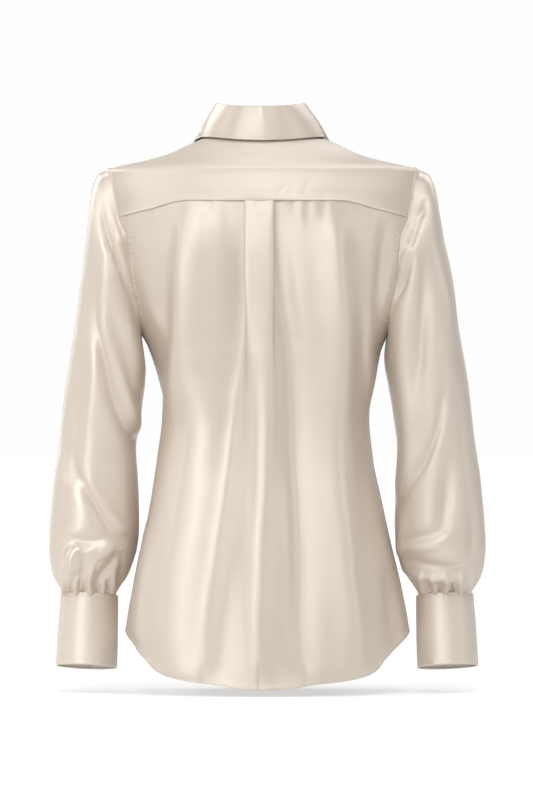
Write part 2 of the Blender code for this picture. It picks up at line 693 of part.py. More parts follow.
def button(name, point, outward, surface, collection):
    """Round button standing on a face."""
    mesh = bpy.data.meshes.new(name)
    turns = [math.tau * k / BUTTON_SIDES for k in range(BUTTON_SIDES)]
    rim, top = BUTTON_R * MM, BUTTON_T * MM
    points = [(rim * math.cos(turn), rim * math.sin(turn), top) for turn in turns]
    mesh.from_pydata(points, [], [tuple(range(BUTTON_SIDES))])
    obj = place(bpy.data.objects.new(name, mesh), surface, collection)
    shell = obj.modifiers.new("thickness", "SOLIDIFY")
    shell.thickness, shell.offset = BUTTON_T * MM, -1
    outward = outward.normalized()
    facing = outward.to_track_quat("Z", "Y").to_matrix().to_4x4()
    obj.matrix_world = Matrix.Translation((point + outward * LAYER) * MM) @ facing
    return obj


def front_buttons(surface, collection):
    """Buttons down the middle of the band, then the one on the stand."""
    line = [row[len(row) // 2] for row in band_rows()]
    for i, z in enumerate(FRONT_BUTTONS_Z, 1):
        k = next(k for k, point in enumerate(line) if point.z < z)
        above, below = line[k - 1], line[k]
        point = above.lerp(below, (above.z - z) / (above.z - below.z))
        outward = Vector((0, below.z - above.z, above.y - below.y))
        button(f"button_front_{i}", Vector((0, point.y, z)), outward, surface, collection)
    outward = neck_axes(1, -1)[0]
    point = neck_line(1, -1, STAND_BUTTON_RISE) + outward * BUTTON_OUT
    button("button_stand", point, outward, surface, collection)


def cuff_buttons(name, side, surface, collection):
    """Two buttons on the lap of a cuff."""
    for i, share in enumerate(CUFF_BUTTONS, 1):
        point = cuff_point(share, CUFF_LAP_AT, side)
        outward = cuff_point(share, CUFF_LAP_AT, side, 1.0) - point
        point += outward * BUTTON_OUT
        button(f"button_cuff_{name}_{i}", point, outward, surface, collection)


def build():
    """Clears the scene and makes every piece in its place."""
    for obj in list(bpy.data.objects):
        bpy.data.objects.remove(obj, do_unlink=True)
    collection = bpy.data.collections.new("silk_blouse")
    bpy.context.scene.collection.children.link(collection)

    def silk(name, shade):
        return material(name, tuple(shade * c for c in SILK), SILK_ROUGHNESS)

    cloth("back", [row[::-1] for row in back_rows()], silk("silk_back", 1.0), collection)
    cloth("yoke", [row[::-1] for row in yoke_rows()], silk("silk_yoke", 1.06), collection)
    cloth("front_left", front_rows(1), silk("silk_front_left", 0.97), collection)
    cloth("front_right", [row[::-1] for row in front_rows(-1)], silk("silk_front_right", 0.98), collection)
    cloth("button_band", [row[::-1] for row in band_rows()], silk("silk_band", 1.03), collection)
    cloth("collar_stand", [row[::-1] for row in stand_rows()], silk("silk_stand", 1.02), collection)
    cloth("collar_leaf", [row[::-1] for row in leaf_rows()], silk("silk_leaf", 1.08), collection)
    for name, side in (("left", 1), ("right", -1)):
        cloth(f"sleeve_{name}", sleeve_rows(side), silk(f"silk_sleeve_{name}", 1.0), collection, True)
        cloth(f"cuff_{name}", cuff_rows(side), silk(f"silk_cuff_{name}", 1.04), collection)
    pearl = material("button_resin", RESIN, RESIN_ROUGHNESS)
    front_buttons(pearl, collection)
    for name, side in (("left", 1), ("right", -1)):
        cuff_buttons(name, side, pearl, collection)


build()
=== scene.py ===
"""Silk blouse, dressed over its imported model: satin cloth, folds, seams, stitches and buttons.

The frame is in metres; every table here is in millimetres and degrees. The wearer faces -Y, with the
wearer's left toward +X. The origin is in the middle of the neck, level with the inner shoulders.
"""

import json
import logging
import math
from dataclasses import dataclass, field
from enum import Enum
from typing import NamedTuple

import bpy
import numpy as np
from mathutils import Matrix, Vector

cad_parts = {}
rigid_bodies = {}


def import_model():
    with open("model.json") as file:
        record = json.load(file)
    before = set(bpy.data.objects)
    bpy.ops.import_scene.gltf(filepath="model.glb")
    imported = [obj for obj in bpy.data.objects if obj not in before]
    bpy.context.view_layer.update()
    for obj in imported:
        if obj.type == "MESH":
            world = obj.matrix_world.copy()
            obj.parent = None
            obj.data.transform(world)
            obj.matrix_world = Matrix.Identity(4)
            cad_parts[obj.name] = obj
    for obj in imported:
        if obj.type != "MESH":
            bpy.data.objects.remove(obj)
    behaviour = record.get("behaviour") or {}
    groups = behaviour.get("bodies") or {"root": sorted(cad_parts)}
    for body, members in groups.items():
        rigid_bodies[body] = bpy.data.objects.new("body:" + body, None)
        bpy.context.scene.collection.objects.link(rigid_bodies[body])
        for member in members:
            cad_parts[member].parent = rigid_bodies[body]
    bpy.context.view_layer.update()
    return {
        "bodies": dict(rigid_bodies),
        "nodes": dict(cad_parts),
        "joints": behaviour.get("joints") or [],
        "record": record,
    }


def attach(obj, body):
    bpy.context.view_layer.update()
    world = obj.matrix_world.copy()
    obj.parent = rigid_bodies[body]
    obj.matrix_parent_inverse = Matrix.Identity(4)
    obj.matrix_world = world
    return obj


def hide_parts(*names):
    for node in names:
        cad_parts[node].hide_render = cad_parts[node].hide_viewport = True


Array = np.ndarray
LOG = logging.getLogger("silk_blouse")
MM = 0.001
BODY_NAME = "root"


class Section(NamedTuple):
    """Level cut of the body: its half widths, and its depths behind and in front."""

    z: float
    left: float
    right: float
    back: float
    front: float


class Scye(NamedTuple):
    """Armhole edge at one height, as angles behind and in front of the shoulder."""

    z: float
    back: float
    front: float


class Column(NamedTuple):
    """Line across the yoke, from the neck seam to its outer edge."""

    at: float
    neck_phi: float
    edge_phi: float
    edge_z: float


class Neck(NamedTuple):
    """Place along the collar: neck seam, top of the stand and free edge of the leaf."""

    at: float
    phi: float
    z: float
    top_x: float
    top_y: float
    top_z: float
    edge_x: float
    edge_z: float
    edge_out: float


class Hem(NamedTuple):
    """Height of the hem at one angle from centre back."""

    phi: float
    z: float


class Pleat(NamedTuple):
    """Edges of the box pleat and how proud it stands at one height."""

    z: float
    left: float
    right: float
    height: float


class PleatEdge(NamedTuple):
    """Point across an edge of the pleat, where it is sharp and where it has softened."""

    sharp_x: float
    sharp_out: float
    soft_x: float
    soft_out: float


class Ring(NamedTuple):
    """Section of the left sleeve by its outer, inner, back and front points."""

    at: float
    out_x: float
    out_z: float
    in_x: float
    in_z: float
    back_x: float
    back_y: float
    back_z: float
    front_x: float
    front_y: float
    front_z: float


class Crease(NamedTuple):
    """Soft ridge or trough along a line of places (x, z, height), with a half width to each side."""

    line: tuple[tuple[float, float, float], ...]
    left: float
    right: float


class Fold(NamedTuple):
    """Crease where the main camera sees it, with a half width in millimetres to each side.

    Its line holds places (column, row, strength) in the camera's frame of 533 x 800.
    """

    line: tuple[tuple[float, float, float], ...]
    left: float
    right: float


@dataclass(frozen=True)
class View:
    """Frame of the main camera, 533 x 800: its reach, its aim and the size of one row, in millimetres."""

    reach: float = 7000.0
    aim_x: float = -3.2
    aim_z: float = -322.6
    scale: float = 1.27
    rows: int = 800
    origin_column: float = 264
    origin_row: float = 146

    def place(self, column: float, row: float, back: float) -> tuple[int, int]:
        """Place on the cloth that the frame shows at a column and row.

        Args:
            column: Column of the frame.
            row: Row of the frame.
            back: How far behind the blouse's middle the cloth lies.

        Returns:
            X and Z, to the whole millimetre.
        """
        nearer = (self.reach - back) / self.reach
        x = self.aim_x + ((self.origin_column - column) * self.scale - self.aim_x) * nearer
        z = self.aim_z + ((self.origin_row - row) * self.scale - self.aim_z) * nearer
        return round(x), round(z)


VIEW = View()
BACK_OUT, YOKE_OUT, SLEEVE_OUT, TUCK_OUT = 112.0, 85.0, 55.0, 108.0  # how far behind the middle each lies
BACK_DEPTH, YOKE_DEPTH, TUCK_DEPTH = 3.9, 1.0, 0.9  # millimetres to a strength of 1
LEFT_DEPTH, RIGHT_DEPTH, FRONT_DEPTH, HIDDEN_DEPTH = 2.7, 2.8, 2.86, 1.7
TUCK_ROW = 202  # row of the frame where the tucks start
FADE_FROM, FADE_RUN = -48, 22  # height where the back's creases start, and the drop over which they grow


class Tuck(NamedTuple):
    """Small wrinkle that hangs from the yoke seam, its column and drop taken in the camera's frame."""

    column: float
    drop: float
    strength: float
    width: float

    @property
    def x(self) -> int:
        """Where it starts, in millimetres."""
        return VIEW.place(self.column, TUCK_ROW, TUCK_OUT)[0]

    @property
    def length(self) -> int:
        """How far it reaches, in millimetres."""
        return round(self.drop * VIEW.scale)

    @property
    def height(self) -> float:
        """How far it stands out, in millimetres."""
        return round(self.strength * TUCK_DEPTH, 1)


class Gather(NamedTuple):
    """Valley of the gathers above a cuff, on the side that faces forward."""

    angle: float
    drift: float
    width: float
    depth: float
    start: float


class Side(Enum):
    """Wearer's side, whose value is the sign of X."""

    LEFT = 1
    RIGHT = -1

    @property
    def word(self) -> str:
        """Name of the side in small letters."""
        return self.name.lower()


class Held(Enum):
    """How a sheet of cloth is held."""

    HUNG = "hung"
    GATHERED = "gathered"
    FOLDED = "folded"


BODY: tuple[Section, ...] = (
    Section(24, 55, 55, 48, 42),
    Section(19, 60, 60, 52, 46),
    Section(8, 81, 80, 58, 56),
    Section(0, 99, 98, 63, 61),
    Section(-10, 121, 119, 69, 66),
    Section(-20, 156, 154, 75, 70),
    Section(-25.5, 183, 181, 78, 72),
    Section(-31, 199, 197, 81, 73.5),
    Section(-35, 200.5, 198.5, 82, 74),
    Section(-60, 202, 200, 92, 80),
    Section(-91, 200, 198, 102, 91),
    Section(-140, 196, 194, 113, 113),
    Section(-175, 186, 185, 115, 126),
    Section(-215, 168, 169, 112, 134),
    Section(-238, 156, 158, 108, 134),
    Section(-250, 149, 152, 105, 131),
    Section(-262, 144, 147.5, 103, 128),
    Section(-297, 133, 141, 95, 115),
    Section(-345, 123.5, 133, 91, 104),
    Section(-399, 131, 138, 97, 104),
    Section(-450, 142, 149, 108, 111),
    Section(-500, 154, 160, 117, 116),
    Section(-564, 167, 175, 123, 118),
    Section(-617, 175, 184, 126, 119),
    Section(-700, 179, 189, 129, 118),
)
ARMHOLE: tuple[Scye, ...] = (
    Scye(-31, 90, 90),
    Scye(-34, 84, 96),
    Scye(-42, 75, 104),
    Scye(-60, 70, 108),
    Scye(-75, 68.5, 111),
    Scye(-91, 67, 116),
    Scye(-119, 61, 123.5),
    Scye(-145, 61, 127),
    Scye(-170, 63.7, 125),
    Scye(-205, 67, 118),
    Scye(-225, 73, 108),
    Scye(-234, 79.5, 100),
    Scye(-238, 90, 90),
)
SHOULDER_Z, UNDERARM_Z = -31.0, -238.0
YOKE: tuple[Column, ...] = (
    Column(0, 0, 0, -72.4),
    Column(1, 24, 14.5, -72.3),
    Column(2, 44, 27.5, -71.8),
    Column(3, 54, 46.5, -83),
    Column(4, 62, 67, -92),
    Column(5, 70, 70, -60),
    Column(6, 78, 75, -43),
    Column(7, 90, 90, -31),
    Column(8, 103, 104, -43),
    Column(9, 118, 108, -60),
    Column(10, 134, 111, -75),
)
YOKE_CORNER, YOKE_TIP, YOKE_END = 4, 7, 10
YOKE_COLUMNS = 150
PLEAT_MIDDLE = 6.0
COLLAR: tuple[Neck, ...] = (
    Neck(0.00, 0, 16, 0, 50, 43.6, 0, 2.6, 3.4),
    Neck(0.15, 24, 16.5, 25, 44, 44.4, 33, 3.8, 3.4),
    Neck(0.30, 48, 18, 43, 29, 46.8, 60, 6.6, 3.1),
    Neck(0.42, 90, 19, 54, 4, 49.6, 79.5, 8.0, 2.9),
    Neck(0.56, 134, 8, 52, -34, 37, 88, -4, 3.4),
    Neck(0.64, 150, -5, 49, -49, 22, 86, -20, 3.6),
    Neck(0.72, 162, -22, 44, -62, 5, 80, -42, 3.8),
    Neck(0.82, 169, -42, 33, -70, -15, 69, -68, 4.2),
    Neck(0.92, 174.6, -55, 17, -75, -29, 54, -94, 4.6),
    Neck(1.00, 180, -60, 0, -76, -34, 40, -100, 4.6),
)
HEM: tuple[Hem, ...] = (
    Hem(0, -685),
    Hem(10, -684),
    Hem(18, -679),
    Hem(30, -675.5),
    Hem(42, -670),
    Hem(48.6, -663),
    Hem(55.4, -648),
    Hem(64, -635),
    Hem(76, -624),
    Hem(90, -617),
    Hem(104, -622),
    Hem(120, -642),
    Hem(140, -655),
    Hem(180, -659),
)
PLEAT: tuple[Pleat, ...] = (
    Pleat(-430, 19, -11, 0),
    Pleat(-330, 21.5, -11.5, 1.6),
    Pleat(-250, 23, -12, 3.6),
    Pleat(-150, 24, -12, 4.4),
    Pleat(-95, 24, -12, 3.6),
    Pleat(-72, 24, -12, 1.6),
)
PLEAT_EDGE: tuple[PleatEdge, ...] = (
    PleatEdge(1.8, 0.0, 9.0, 0.0),
    PleatEdge(-0.4, 0.0, 7.0, 0.04),
    PleatEdge(-3.2, 0.01, 5.0, 0.12),
    PleatEdge(-3.7, 0.3, 2.5, 0.32),
    PleatEdge(-0.6, 0.6, 0.0, 0.55),
    PleatEdge(0.5, 0.8, -2.5, 0.75),
    PleatEdge(0.1, 0.95, -5.0, 0.9),
    PleatEdge(-1.6, 1.0, -8.0, 1.0),
)
SLEEVE: tuple[Ring, ...] = (
    Ring(0, 199, -31, 157, -238, 172, 52, -137, 158, -66, -137),
    Ring(1, 208.5, -34.5, 157, -247, 182, 60, -146, 169, -70, -146),
    Ring(2, 217.5, -55, 155, -257, 188, 65, -163, 178, -71, -163),
    Ring(3, 222, -92, 152.5, -270, 193, 67, -188, 186, -71, -188),
    Ring(4, 229, -150, 151, -284, 197, 65, -224, 192, -70, -225),
    Ring(5, 240, -233, 152.5, -306, 199, 61, -275, 196, -67, -278),
    Ring(6, 252, -312, 157, -342, 204, 57, -330, 202, -64, -333),
    Ring(7, 259, -373, 163, -385, 210.5, 54, -380, 210, -62, -382),
    Ring(8, 266.5, -424, 160.5, -428, 213, 54, -426, 213, -63, -428),
    Ring(9, 271.5, -478, 159, -476, 214, 55, -478, 214, -66, -480),
    Ring(10, 273, -508, 161, -504, 215.5, 55, -506, 216, -68, -508),
    Ring(11, 270.5, -534, 167.5, -530, 218, 50, -531, 219, -65, -536),
    Ring(12, 264, -553, 176, -550, 220.5, 41, -549, 220, -55, -555),
    Ring(13, 258, -564.5, 184, -563, 221.3, 31, -560, 221.3, -48.5, -568),
    Ring(14, 256.6, -570.5, 187, -570, 221.8, 25.9, -566.5, 221.8, -43.5, -575),
)
BACK_FOLDS: tuple[Fold, ...] = (
    Fold(
        (
            (190, 203, 0.0), (185, 225, 1.6), (182, 260, 2.9), (181, 300, 3.3), (180, 340, 3.3),
            (176, 380, 3.2), (171, 420, 3.0), (167, 460, 3.1), (162, 500, 3.1), (156, 540, 3.0),
            (150, 580, 2.8), (146, 620, 2.5), (145, 660, 1.7),
        ),
        12, 29,
    ),
    Fold(
        (
            (236, 345, 0.0), (232, 380, -1.4), (229, 420, -2.7), (225, 460, -2.9), (220, 500, -2.7),
            (214, 540, -2.5), (208, 580, -2.2), (203, 620, -1.9), (201, 660, -1.3),
        ),
        24, 20,
    ),
    Fold(
        (
            (268, 300, 0.2), (267, 340, 1.2), (266, 380, 1.8), (266, 420, 2.1), (265, 460, 2.2),
            (263, 500, 2.2), (261, 540, 2.1), (260, 580, 2.0), (258, 620, 1.8), (258, 660, 1.4),
        ),
        21, 15,
    ),
    Fold(
        (
            (334, 204, 0.0), (336, 230, 1.8), (337, 260, 3.4), (340, 300, 4.0), (341, 340, 3.8),
            (340, 380, 3.0), (339, 420, 2.4), (341, 460, 2.2), (342, 500, 2.3), (346, 540, 2.5),
            (349, 580, 2.4), (354, 620, 2.2), (354, 655, 1.2),
        ),
        21, 19,
    ),
    Fold(((146, 302, 0.0), (156, 316, 0.7), (166, 336, 0.5), (174, 360, 0.0)), 9, 9),
    Fold(((386, 225, -0.4), (384, 260, -1.6), (380, 300, -1.0), (376, 330, 0)), 9, 9),
    Fold(((372, 300, 0.2), (369, 345, 1.0), (371, 385, 1.0), (372, 430, 0.4)), 7, 8),
    Fold(((150, 520, 0.0), (146, 560, 1.0), (141, 600, 1.6), (139, 632, 1.4)), 9, 12),
    Fold(((388, 560, 0.0), (392, 600, -1.2), (395, 635, -1.4)), 10, 10),
)
PLEAT_FOLDS: tuple[Fold, ...] = (
    Fold(
        (
            (243, 199, 0.0), (243, 214, -0.9), (243, 250, -2.3), (243, 300, -2.9), (242, 340, -2.4),
            (239, 375, -1.2), (235, 400, 0.0),
        ),
        27, 23,
    ),
    Fold(
        (
            (276, 199, 0.0), (277, 214, -1.0), (278, 250, -2.3), (283, 300, -3.0), (290, 340, -3.0),
            (294, 380, -2.7), (296, 420, -2.5), (297, 460, -2.5), (299, 500, -2.6), (301, 540, -2.7),
            (301, 580, -2.6), (300, 620, -2.4), (302, 660, -1.6),
        ),
        15, 20,
    ),
)
YOKE_FOLDS: tuple[Fold, ...] = (
    Fold(((232, 196, -0.2), (236, 186, -0.5), (242, 176, 0)), 3, 4),
    Fold(((252, 197, -0.3), (255, 187, -0.5), (260, 176, 0)), 3, 3),
    Fold(((278, 196, -0.4), (283, 188, -0.8), (288, 180, 0)), 3, 3),
    Fold(((288, 196, -0.4), (292, 188, -0.6), (297, 178, 0)), 3, 3),
    Fold(((303, 195, -0.3), (307, 186, -0.5), (312, 178, 0)), 3, 4),
)
TUCKS: tuple[Tuck, ...] = (
    Tuck(208, 34, -0.9, 5),
    Tuck(215, 20, 0.5, 4),
    Tuck(228, 46, -0.7, 6),
    Tuck(238, 24, -0.5, 4),
    Tuck(258, 16, -0.9, 3),
    Tuck(264, 30, -0.8, 4),
    Tuck(279, 40, -0.7, 4),
    Tuck(284, 22, 0.6, 3),
    Tuck(294, 34, -0.9, 5),
    Tuck(301, 24, 0.6, 4),
    Tuck(308, 44, -0.8, 5),
    Tuck(316, 20, 0.5, 4),
    Tuck(323, 36, -0.8, 5),
    Tuck(331, 18, 0.5, 4),
    Tuck(339, 30, -0.8, 5),
    Tuck(352, 20, -0.4, 5),
    Tuck(368, 24, -0.4, 6),
    Tuck(160, 22, -0.4, 6),
    Tuck(180, 26, -0.4, 5),
)
FRONT_RIDGES: tuple[Crease, ...] = (
    Crease(
        (
            (96, -120, 0.4), (92, -200, 2.4), (86, -300, 3.4), (84, -420, 3.0), (96, -540, 2.8),
            (104, -640, 2.2),
        ),
        18, 16,
    ),
    Crease(
        ((66, -150, -0.4), (60, -260, -2.2), (54, -400, -2.8), (60, -540, -2.8), (62, -650, -2.0)), 15, 15
    ),
    Crease(((34, -240, 0.4), (32, -360, 1.8), (33, -480, 2.2), (34, -640, 1.6)), 12, 14),
    Crease(
        (
            (-94, -110, 0.4), (-92, -210, 2.6), (-84, -310, 3.0), (-86, -430, 2.6), (-98, -560, 2.8),
            (-102, -640, 2.2),
        ),
        16, 18,
    ),
    Crease(
        ((-62, -140, -0.4), (-58, -280, -2.4), (-56, -410, -2.8), (-64, -550, -2.6), (-66, -650, -2.0)),
        15, 15,
    ),
    Crease(((-36, -260, 0.4), (-34, -380, 1.6), (-37, -500, 2.0), (-36, -640, 1.6)), 13, 12),
    Crease(((134, -250, 0.6), (120, -300, 1.8), (108, -350, 1.4), (104, -400, 0.2)), 8, 11),
    Crease(((-136, -252, 0.6), (-124, -305, 1.6), (-114, -352, 1.4), (-108, -400, 0.2)), 11, 8),
    Crease(((142, -470, 0.2), (146, -560, 1.8), (152, -615, 1.6)), 12, 10),
    Crease(((-148, -480, 0.2), (-152, -565, 1.8), (-158, -615, 1.6)), 10, 12),
)
LEFT_FOLDS: tuple[Fold, ...] = (
    Fold(
        (
            (101, 199, 0.6), (103, 215, 2.2), (109, 238, 3.2), (117, 258, 3.4), (126, 276, 2.6),
            (131, 292, 1.2),
        ),
        7, 4,
    ),
    Fold(((113, 212, -1.0), (118, 236, -2.2), (124, 258, -1.6)), 5, 5),
    Fold(((122, 292, -0.5), (126, 320, -2.0), (134, 352, -2.2), (137, 385, -1.2)), 9, 9),
    Fold(
        (
            (98, 252, 0.4), (94, 290, 1.8), (93, 318, 2.6), (99, 342, 3.0), (106, 366, 3.2),
            (114, 395, 3.2), (124, 420, 2.8), (134, 440, 1.6),
        ),
        11, 6,
    ),
    Fold(
        (
            (104, 318, -0.6), (112, 350, -2.0), (121, 385, -2.6), (131, 415, -2.4), (136, 432, -1.6),
        ),
        6, 9,
    ),
    Fold(((82, 330, 0.4), (77, 390, 1.6), (76, 430, 1.6), (70, 470, 1.2)), 10, 14),
    Fold(
        (
            (63, 430, 0.2), (68, 452, 0.8), (74, 470, 1.7), (83, 485, 2.3), (93, 501, 2.6),
            (102, 517, 2.4), (112, 531, 1.8), (122, 541, 0.9),
        ),
        10, 6,
    ),
    Fold(((88, 480, -0.6), (99, 499, -1.6), (110, 516, -1.8), (124, 530, -1.0)), 5, 8),
    Fold(
        (
            (58, 528, 0.4), (66, 538, 1.4), (78, 541, 2.0), (92, 541, 1.8), (106, 538, 1.8),
            (120, 541, 1.4), (130, 545, 0.6),
        ),
        6, 7,
    ),
    Fold(((72, 551, -1.0), (72, 560, -2.6), (71, 570, -2.6), (69, 582, -1.0)), 6, 6),
    Fold(
        (
            (63, 578, 0.4), (64, 562, 0.9), (66, 551, 1.4), (72, 546, 1.7), (79, 550, 1.6),
            (82, 560, 1.4), (81, 574, 1.3), (78, 586, 0.8),
        ),
        2.7, 2.7,
    ),
    Fold(((90, 552, -1.0), (98, 556, -1.4), (108, 550, -1.2)), 7, 6),
    Fold(((116, 556, 1.0), (110, 566, 2.2), (103, 574, 2.2), (96, 584, 1.4)), 6, 5),
    Fold(((122, 556, 0.8), (121, 570, 1.2), (117, 584, 0.8)), 4, 4),
    Fold(((66, 572, 0.0), (64, 582, -1.4), (63, 592, -1.8)), 2.4, 2.4),
    Fold(((80, 574, 0.0), (77, 583, -1.8), (76, 592, -2.2)), 2.4, 2.4),
    Fold(((94, 562, -0.4), (90, 576, -1.8), (90, 592, -2.0)), 3.5, 3),
    Fold(((104, 576, 0.0), (103, 585, -1.2), (102, 592, -1.5)), 2.2, 2.2),
    Fold(((114, 570, 0.0), (112, 582, -1.6), (110, 592, -1.8)), 2.6, 2.6),
    Fold(((70, 578, 0.0), (70, 591, 1.0)), 2.4, 2.4),
    Fold(((84, 576, 0.0), (83, 591, 1.2)), 2.6, 2.6),
    Fold(((97, 580, 0.0), (97, 591, 1.0)), 2.4, 2.4),
    Fold(((107, 580, 0.0), (106, 591, 1.0)), 2.2, 2.2),
)
RIGHT_FOLDS: tuple[Fold, ...] = (
    Fold(((425, 201, 0.8), (423, 210, 2.0), (417, 219, 1.2)), 4, 5),
    Fold(((417, 224, 0.8), (413, 234, 2.0), (410, 243, 1.8), (404, 250, 0.6)), 4, 5),
    Fold(((411, 258, 1.0), (405, 273, 2.4), (399, 289, 2.4), (391, 306, 1.0)), 4, 6),
    Fold(((412, 216, -1.0), (405, 236, -1.2)), 3, 3),
    Fold(((408, 250, -1.4), (400, 268, -1.4)), 3, 3),
    Fold(
        (
            (430, 235, 0.8), (427, 270, 2.4), (424, 300, 3.3), (421, 335, 3.3), (418, 365, 2.4),
            (412, 392, 0.8),
        ),
        12, 12,
    ),
    Fold(((446, 250, -0.5), (447, 300, -1.9), (447, 350, -1.5), (452, 380, -0.5)), 10, 10),
    Fold(
        (
            (401, 300, -0.8), (402, 330, -1.8), (404, 365, -2.4), (408, 400, -2.8), (411, 440, -3.0),
            (409, 470, -2.6), (403, 492, -1.2),
        ),
        12, 10,
    ),
    Fold(
        (
            (447, 376, 0.2), (443, 400, 1.4), (439, 424, 2.0), (432, 444, 2.4), (425, 460, 2.5),
            (414, 479, 2.3), (405, 494, 1.7), (398, 506, 0.7),
        ),
        7.5, 5.5,
    ),
    Fold(((456, 436, 0.4), (450, 475, 2.4), (446, 505, 3.2), (440, 526, 1.6)), 13, 12),
    Fold(((406, 541, 0.6), (418, 538, 1.5), (430, 535, 1.8), (442, 530, 1.4), (453, 520, 0.2)), 6, 7),
    Fold(((406, 550, -0.6), (418, 549, -1.4), (432, 546, -1.3), (447, 541, -0.3)), 6, 6),
    Fold(((404, 560, 0.3), (420, 564, 1.4), (440, 568, 1.8), (458, 568, 1.6), (473, 562, 0.3)), 6, 7),
    Fold(((410, 573, -0.8), (428, 578, -1.4), (452, 580, -1.2)), 4, 4),
    Fold(((470, 500, 0.2), (474, 530, 1.4), (472, 556, 1.0)), 8, 6),
    Fold(((404, 520, -0.6), (401, 545, -1.4), (405, 570, -1.2)), 5, 5),
    Fold(((421, 570, 0.0), (423, 581, -1.6), (425, 592, -1.8)), 2.6, 2.6),
    Fold(((432, 574, 0.0), (435, 584, -1.5), (436, 592, -1.6)), 2.4, 2.4),
    Fold(((445, 572, 0.0), (447, 583, -1.5), (446, 592, -1.6)), 2.6, 2.6),
    Fold(((465, 570, 0.0), (461, 582, -1.8), (460, 592, -1.8)), 2.6, 2.6),
    Fold(((476, 570, 0.0), (472, 582, -1.4), (469, 592, -1.4)), 2.4, 2.4),
    Fold(((429, 578, 0.0), (430, 591, 1.2)), 2.6, 2.6),
    Fold(((440, 580, 0.0), (441, 591, 1.2)), 2.6, 2.6),
    Fold(((452, 578, 0.0), (453, 591, 1.4)), 3, 3),
)
HIDDEN_RIDGES: tuple[Crease, ...] = (
    Crease(((212, -70, 0.4), (206, -110, 2.2), (194, -160, 3.0), (178, -210, 2.0)), 6, 9),
    Crease(((200, -90, -0.6), (190, -130, -1.6), (178, -175, -1.2)), 6, 6),
    Crease(
        ((216, -170, 0.4), (214, -230, 2.2), (204, -290, 2.8), (188, -340, 2.4), (170, -380, 1.2)), 10, 7
    ),
    Crease(((192, -240, -0.6), (184, -300, -2.0), (172, -345, -2.0)), 8, 8),
    Crease(((250, -310, 0.4), (244, -380, 1.8), (240, -440, 1.4)), 11, 12),
    Crease(((180, -400, 0.4), (196, -430, 2.2), (214, -455, 2.6), (234, -482, 1.6)), 6, 9),
    Crease(((186, -424, -0.6), (202, -452, -1.8), (220, -476, -1.4)), 6, 6),
    Crease(((176, -508, 0.8), (196, -516, 2.2), (222, -512, 2.4), (246, -520, 1.2)), 7, 8),
    Crease(((190, -534, -1.0), (216, -533, -1.6), (240, -540, -1.0)), 5, 6),
)
GATHERS: tuple[Gather, ...] = (
    Gather(-18, 4, 7, 2.0, 12.2),
    Gather(-46, -3, 8, 2.6, 11.6),
    Gather(-82, 2, 7, 2.4, 12.0),
    Gather(-110, 5, 8, 2.8, 11.4),
    Gather(-138, -4, 7, 2.2, 12.3),
    Gather(-163, 3, 7, 2.4, 11.8),
)
SLEEVE_END = 14
CUFF_TOP: tuple[float, float, float] = (221.8, -9.0, -570.7)
CUFF_BOTTOM: tuple[float, float, float] = (225.4, 2.2, -660.3)


def ease(t: Array | float) -> Array:
    """Smooth step from 0 to 1, for a share that is clipped to them."""
    t = np.clip(t, 0.0, 1.0)
    return t * t * (3 - 2 * t)


def mix(a: Array | float, b: Array | float, t: Array | float) -> Array:
    """Value at the share t of the way from a to b."""
    return a + (b - a) * t


def unit(vectors: Array) -> Array:
    """Vectors on the last axis, scaled to length 1."""
    return vectors / np.maximum(np.linalg.norm(vectors, axis=-1, keepdims=True), 1e-9)


def rounded(distance: Array, reach: float) -> Array:
    """Share by which a pressed edge is rounded off: 1 at the edge, 0 from the reach on."""
    return (1 - np.clip(distance / reach, 0, 1)) ** 2


def groove(distance: Array, at: float, width: float) -> Array:
    """Share of the depth of a groove beside an edge: 1 in its middle, falling to 0 at both sides."""
    return np.exp(-(((distance - at) / width) ** 2))


def below_seam(z: Array) -> Array:
    """Share of a back crease's height: 0 above the yoke seam, 1 below it."""
    return ease((FADE_FROM - z) / FADE_RUN)


def hem_share(t: Array) -> Array:
    """Share by which a panel's rows follow the hem: 0 down to the waist, 1 at the hem."""
    return ease((t - 0.55) / 0.45)


@dataclass(frozen=True)
class Track:
    """Smooth curve through a table's values, with no overshoot between rows."""

    places: tuple[float, ...]
    values: tuple[float, ...]

    @classmethod
    def of(cls, rows: tuple, key: str, name: str) -> "Track":
        """Curve of a table's column with the given name over its key column."""
        ordered = sorted(rows, key=lambda row: getattr(row, key))
        return cls(tuple(getattr(r, key) for r in ordered), tuple(getattr(r, name) for r in ordered))

    def __call__(self, at: Array | float) -> Array:
        """Values at the given places, held beyond the ends.

        Args:
            at: Places along the curve.

        Returns:
            The values there.
        """
        xs, ys = np.array(self.places, float), np.array(self.values, float)
        step = np.diff(ys) / np.diff(xs)
        before, after = step[:-1], step[1:]
        same = before * after > 0
        inner = np.where(same, 2 * before * after / np.where(same, before + after, 1), 0)
        slopes = np.concatenate([step[:1], inner, step[-1:]])
        x = np.clip(at, xs[0], xs[-1])
        i = np.clip(np.searchsorted(xs, x, side="right") - 1, 0, len(xs) - 2)
        run = np.diff(xs)[i]
        t = (x - xs[i]) / run
        value = (1 + 2 * t) * (1 - t) ** 2 * ys[i] + t * t * (3 - 2 * t) * ys[i + 1]
        return value + t * (1 - t) * run * ((1 - t) * slopes[i] - t * slopes[i + 1])


def columns_at(rows: tuple, at: Array, *names: str) -> dict[str, Array]:
    """Values of several of a table's columns at places along it."""
    return {name: Track.of(rows, "at", name)(at) for name in names}


def distances(line: Array) -> Array:
    """Distance along a line to each of its points."""
    return np.concatenate([[0], np.cumsum(np.linalg.norm(np.diff(line, axis=0), axis=1))])


def points_at(goal: Array | float, along: Array, points: Array) -> Array:
    """Points of a line at the given distances along it."""
    return np.stack([np.interp(goal, along, points[:, k]) for k in range(3)], axis=-1)


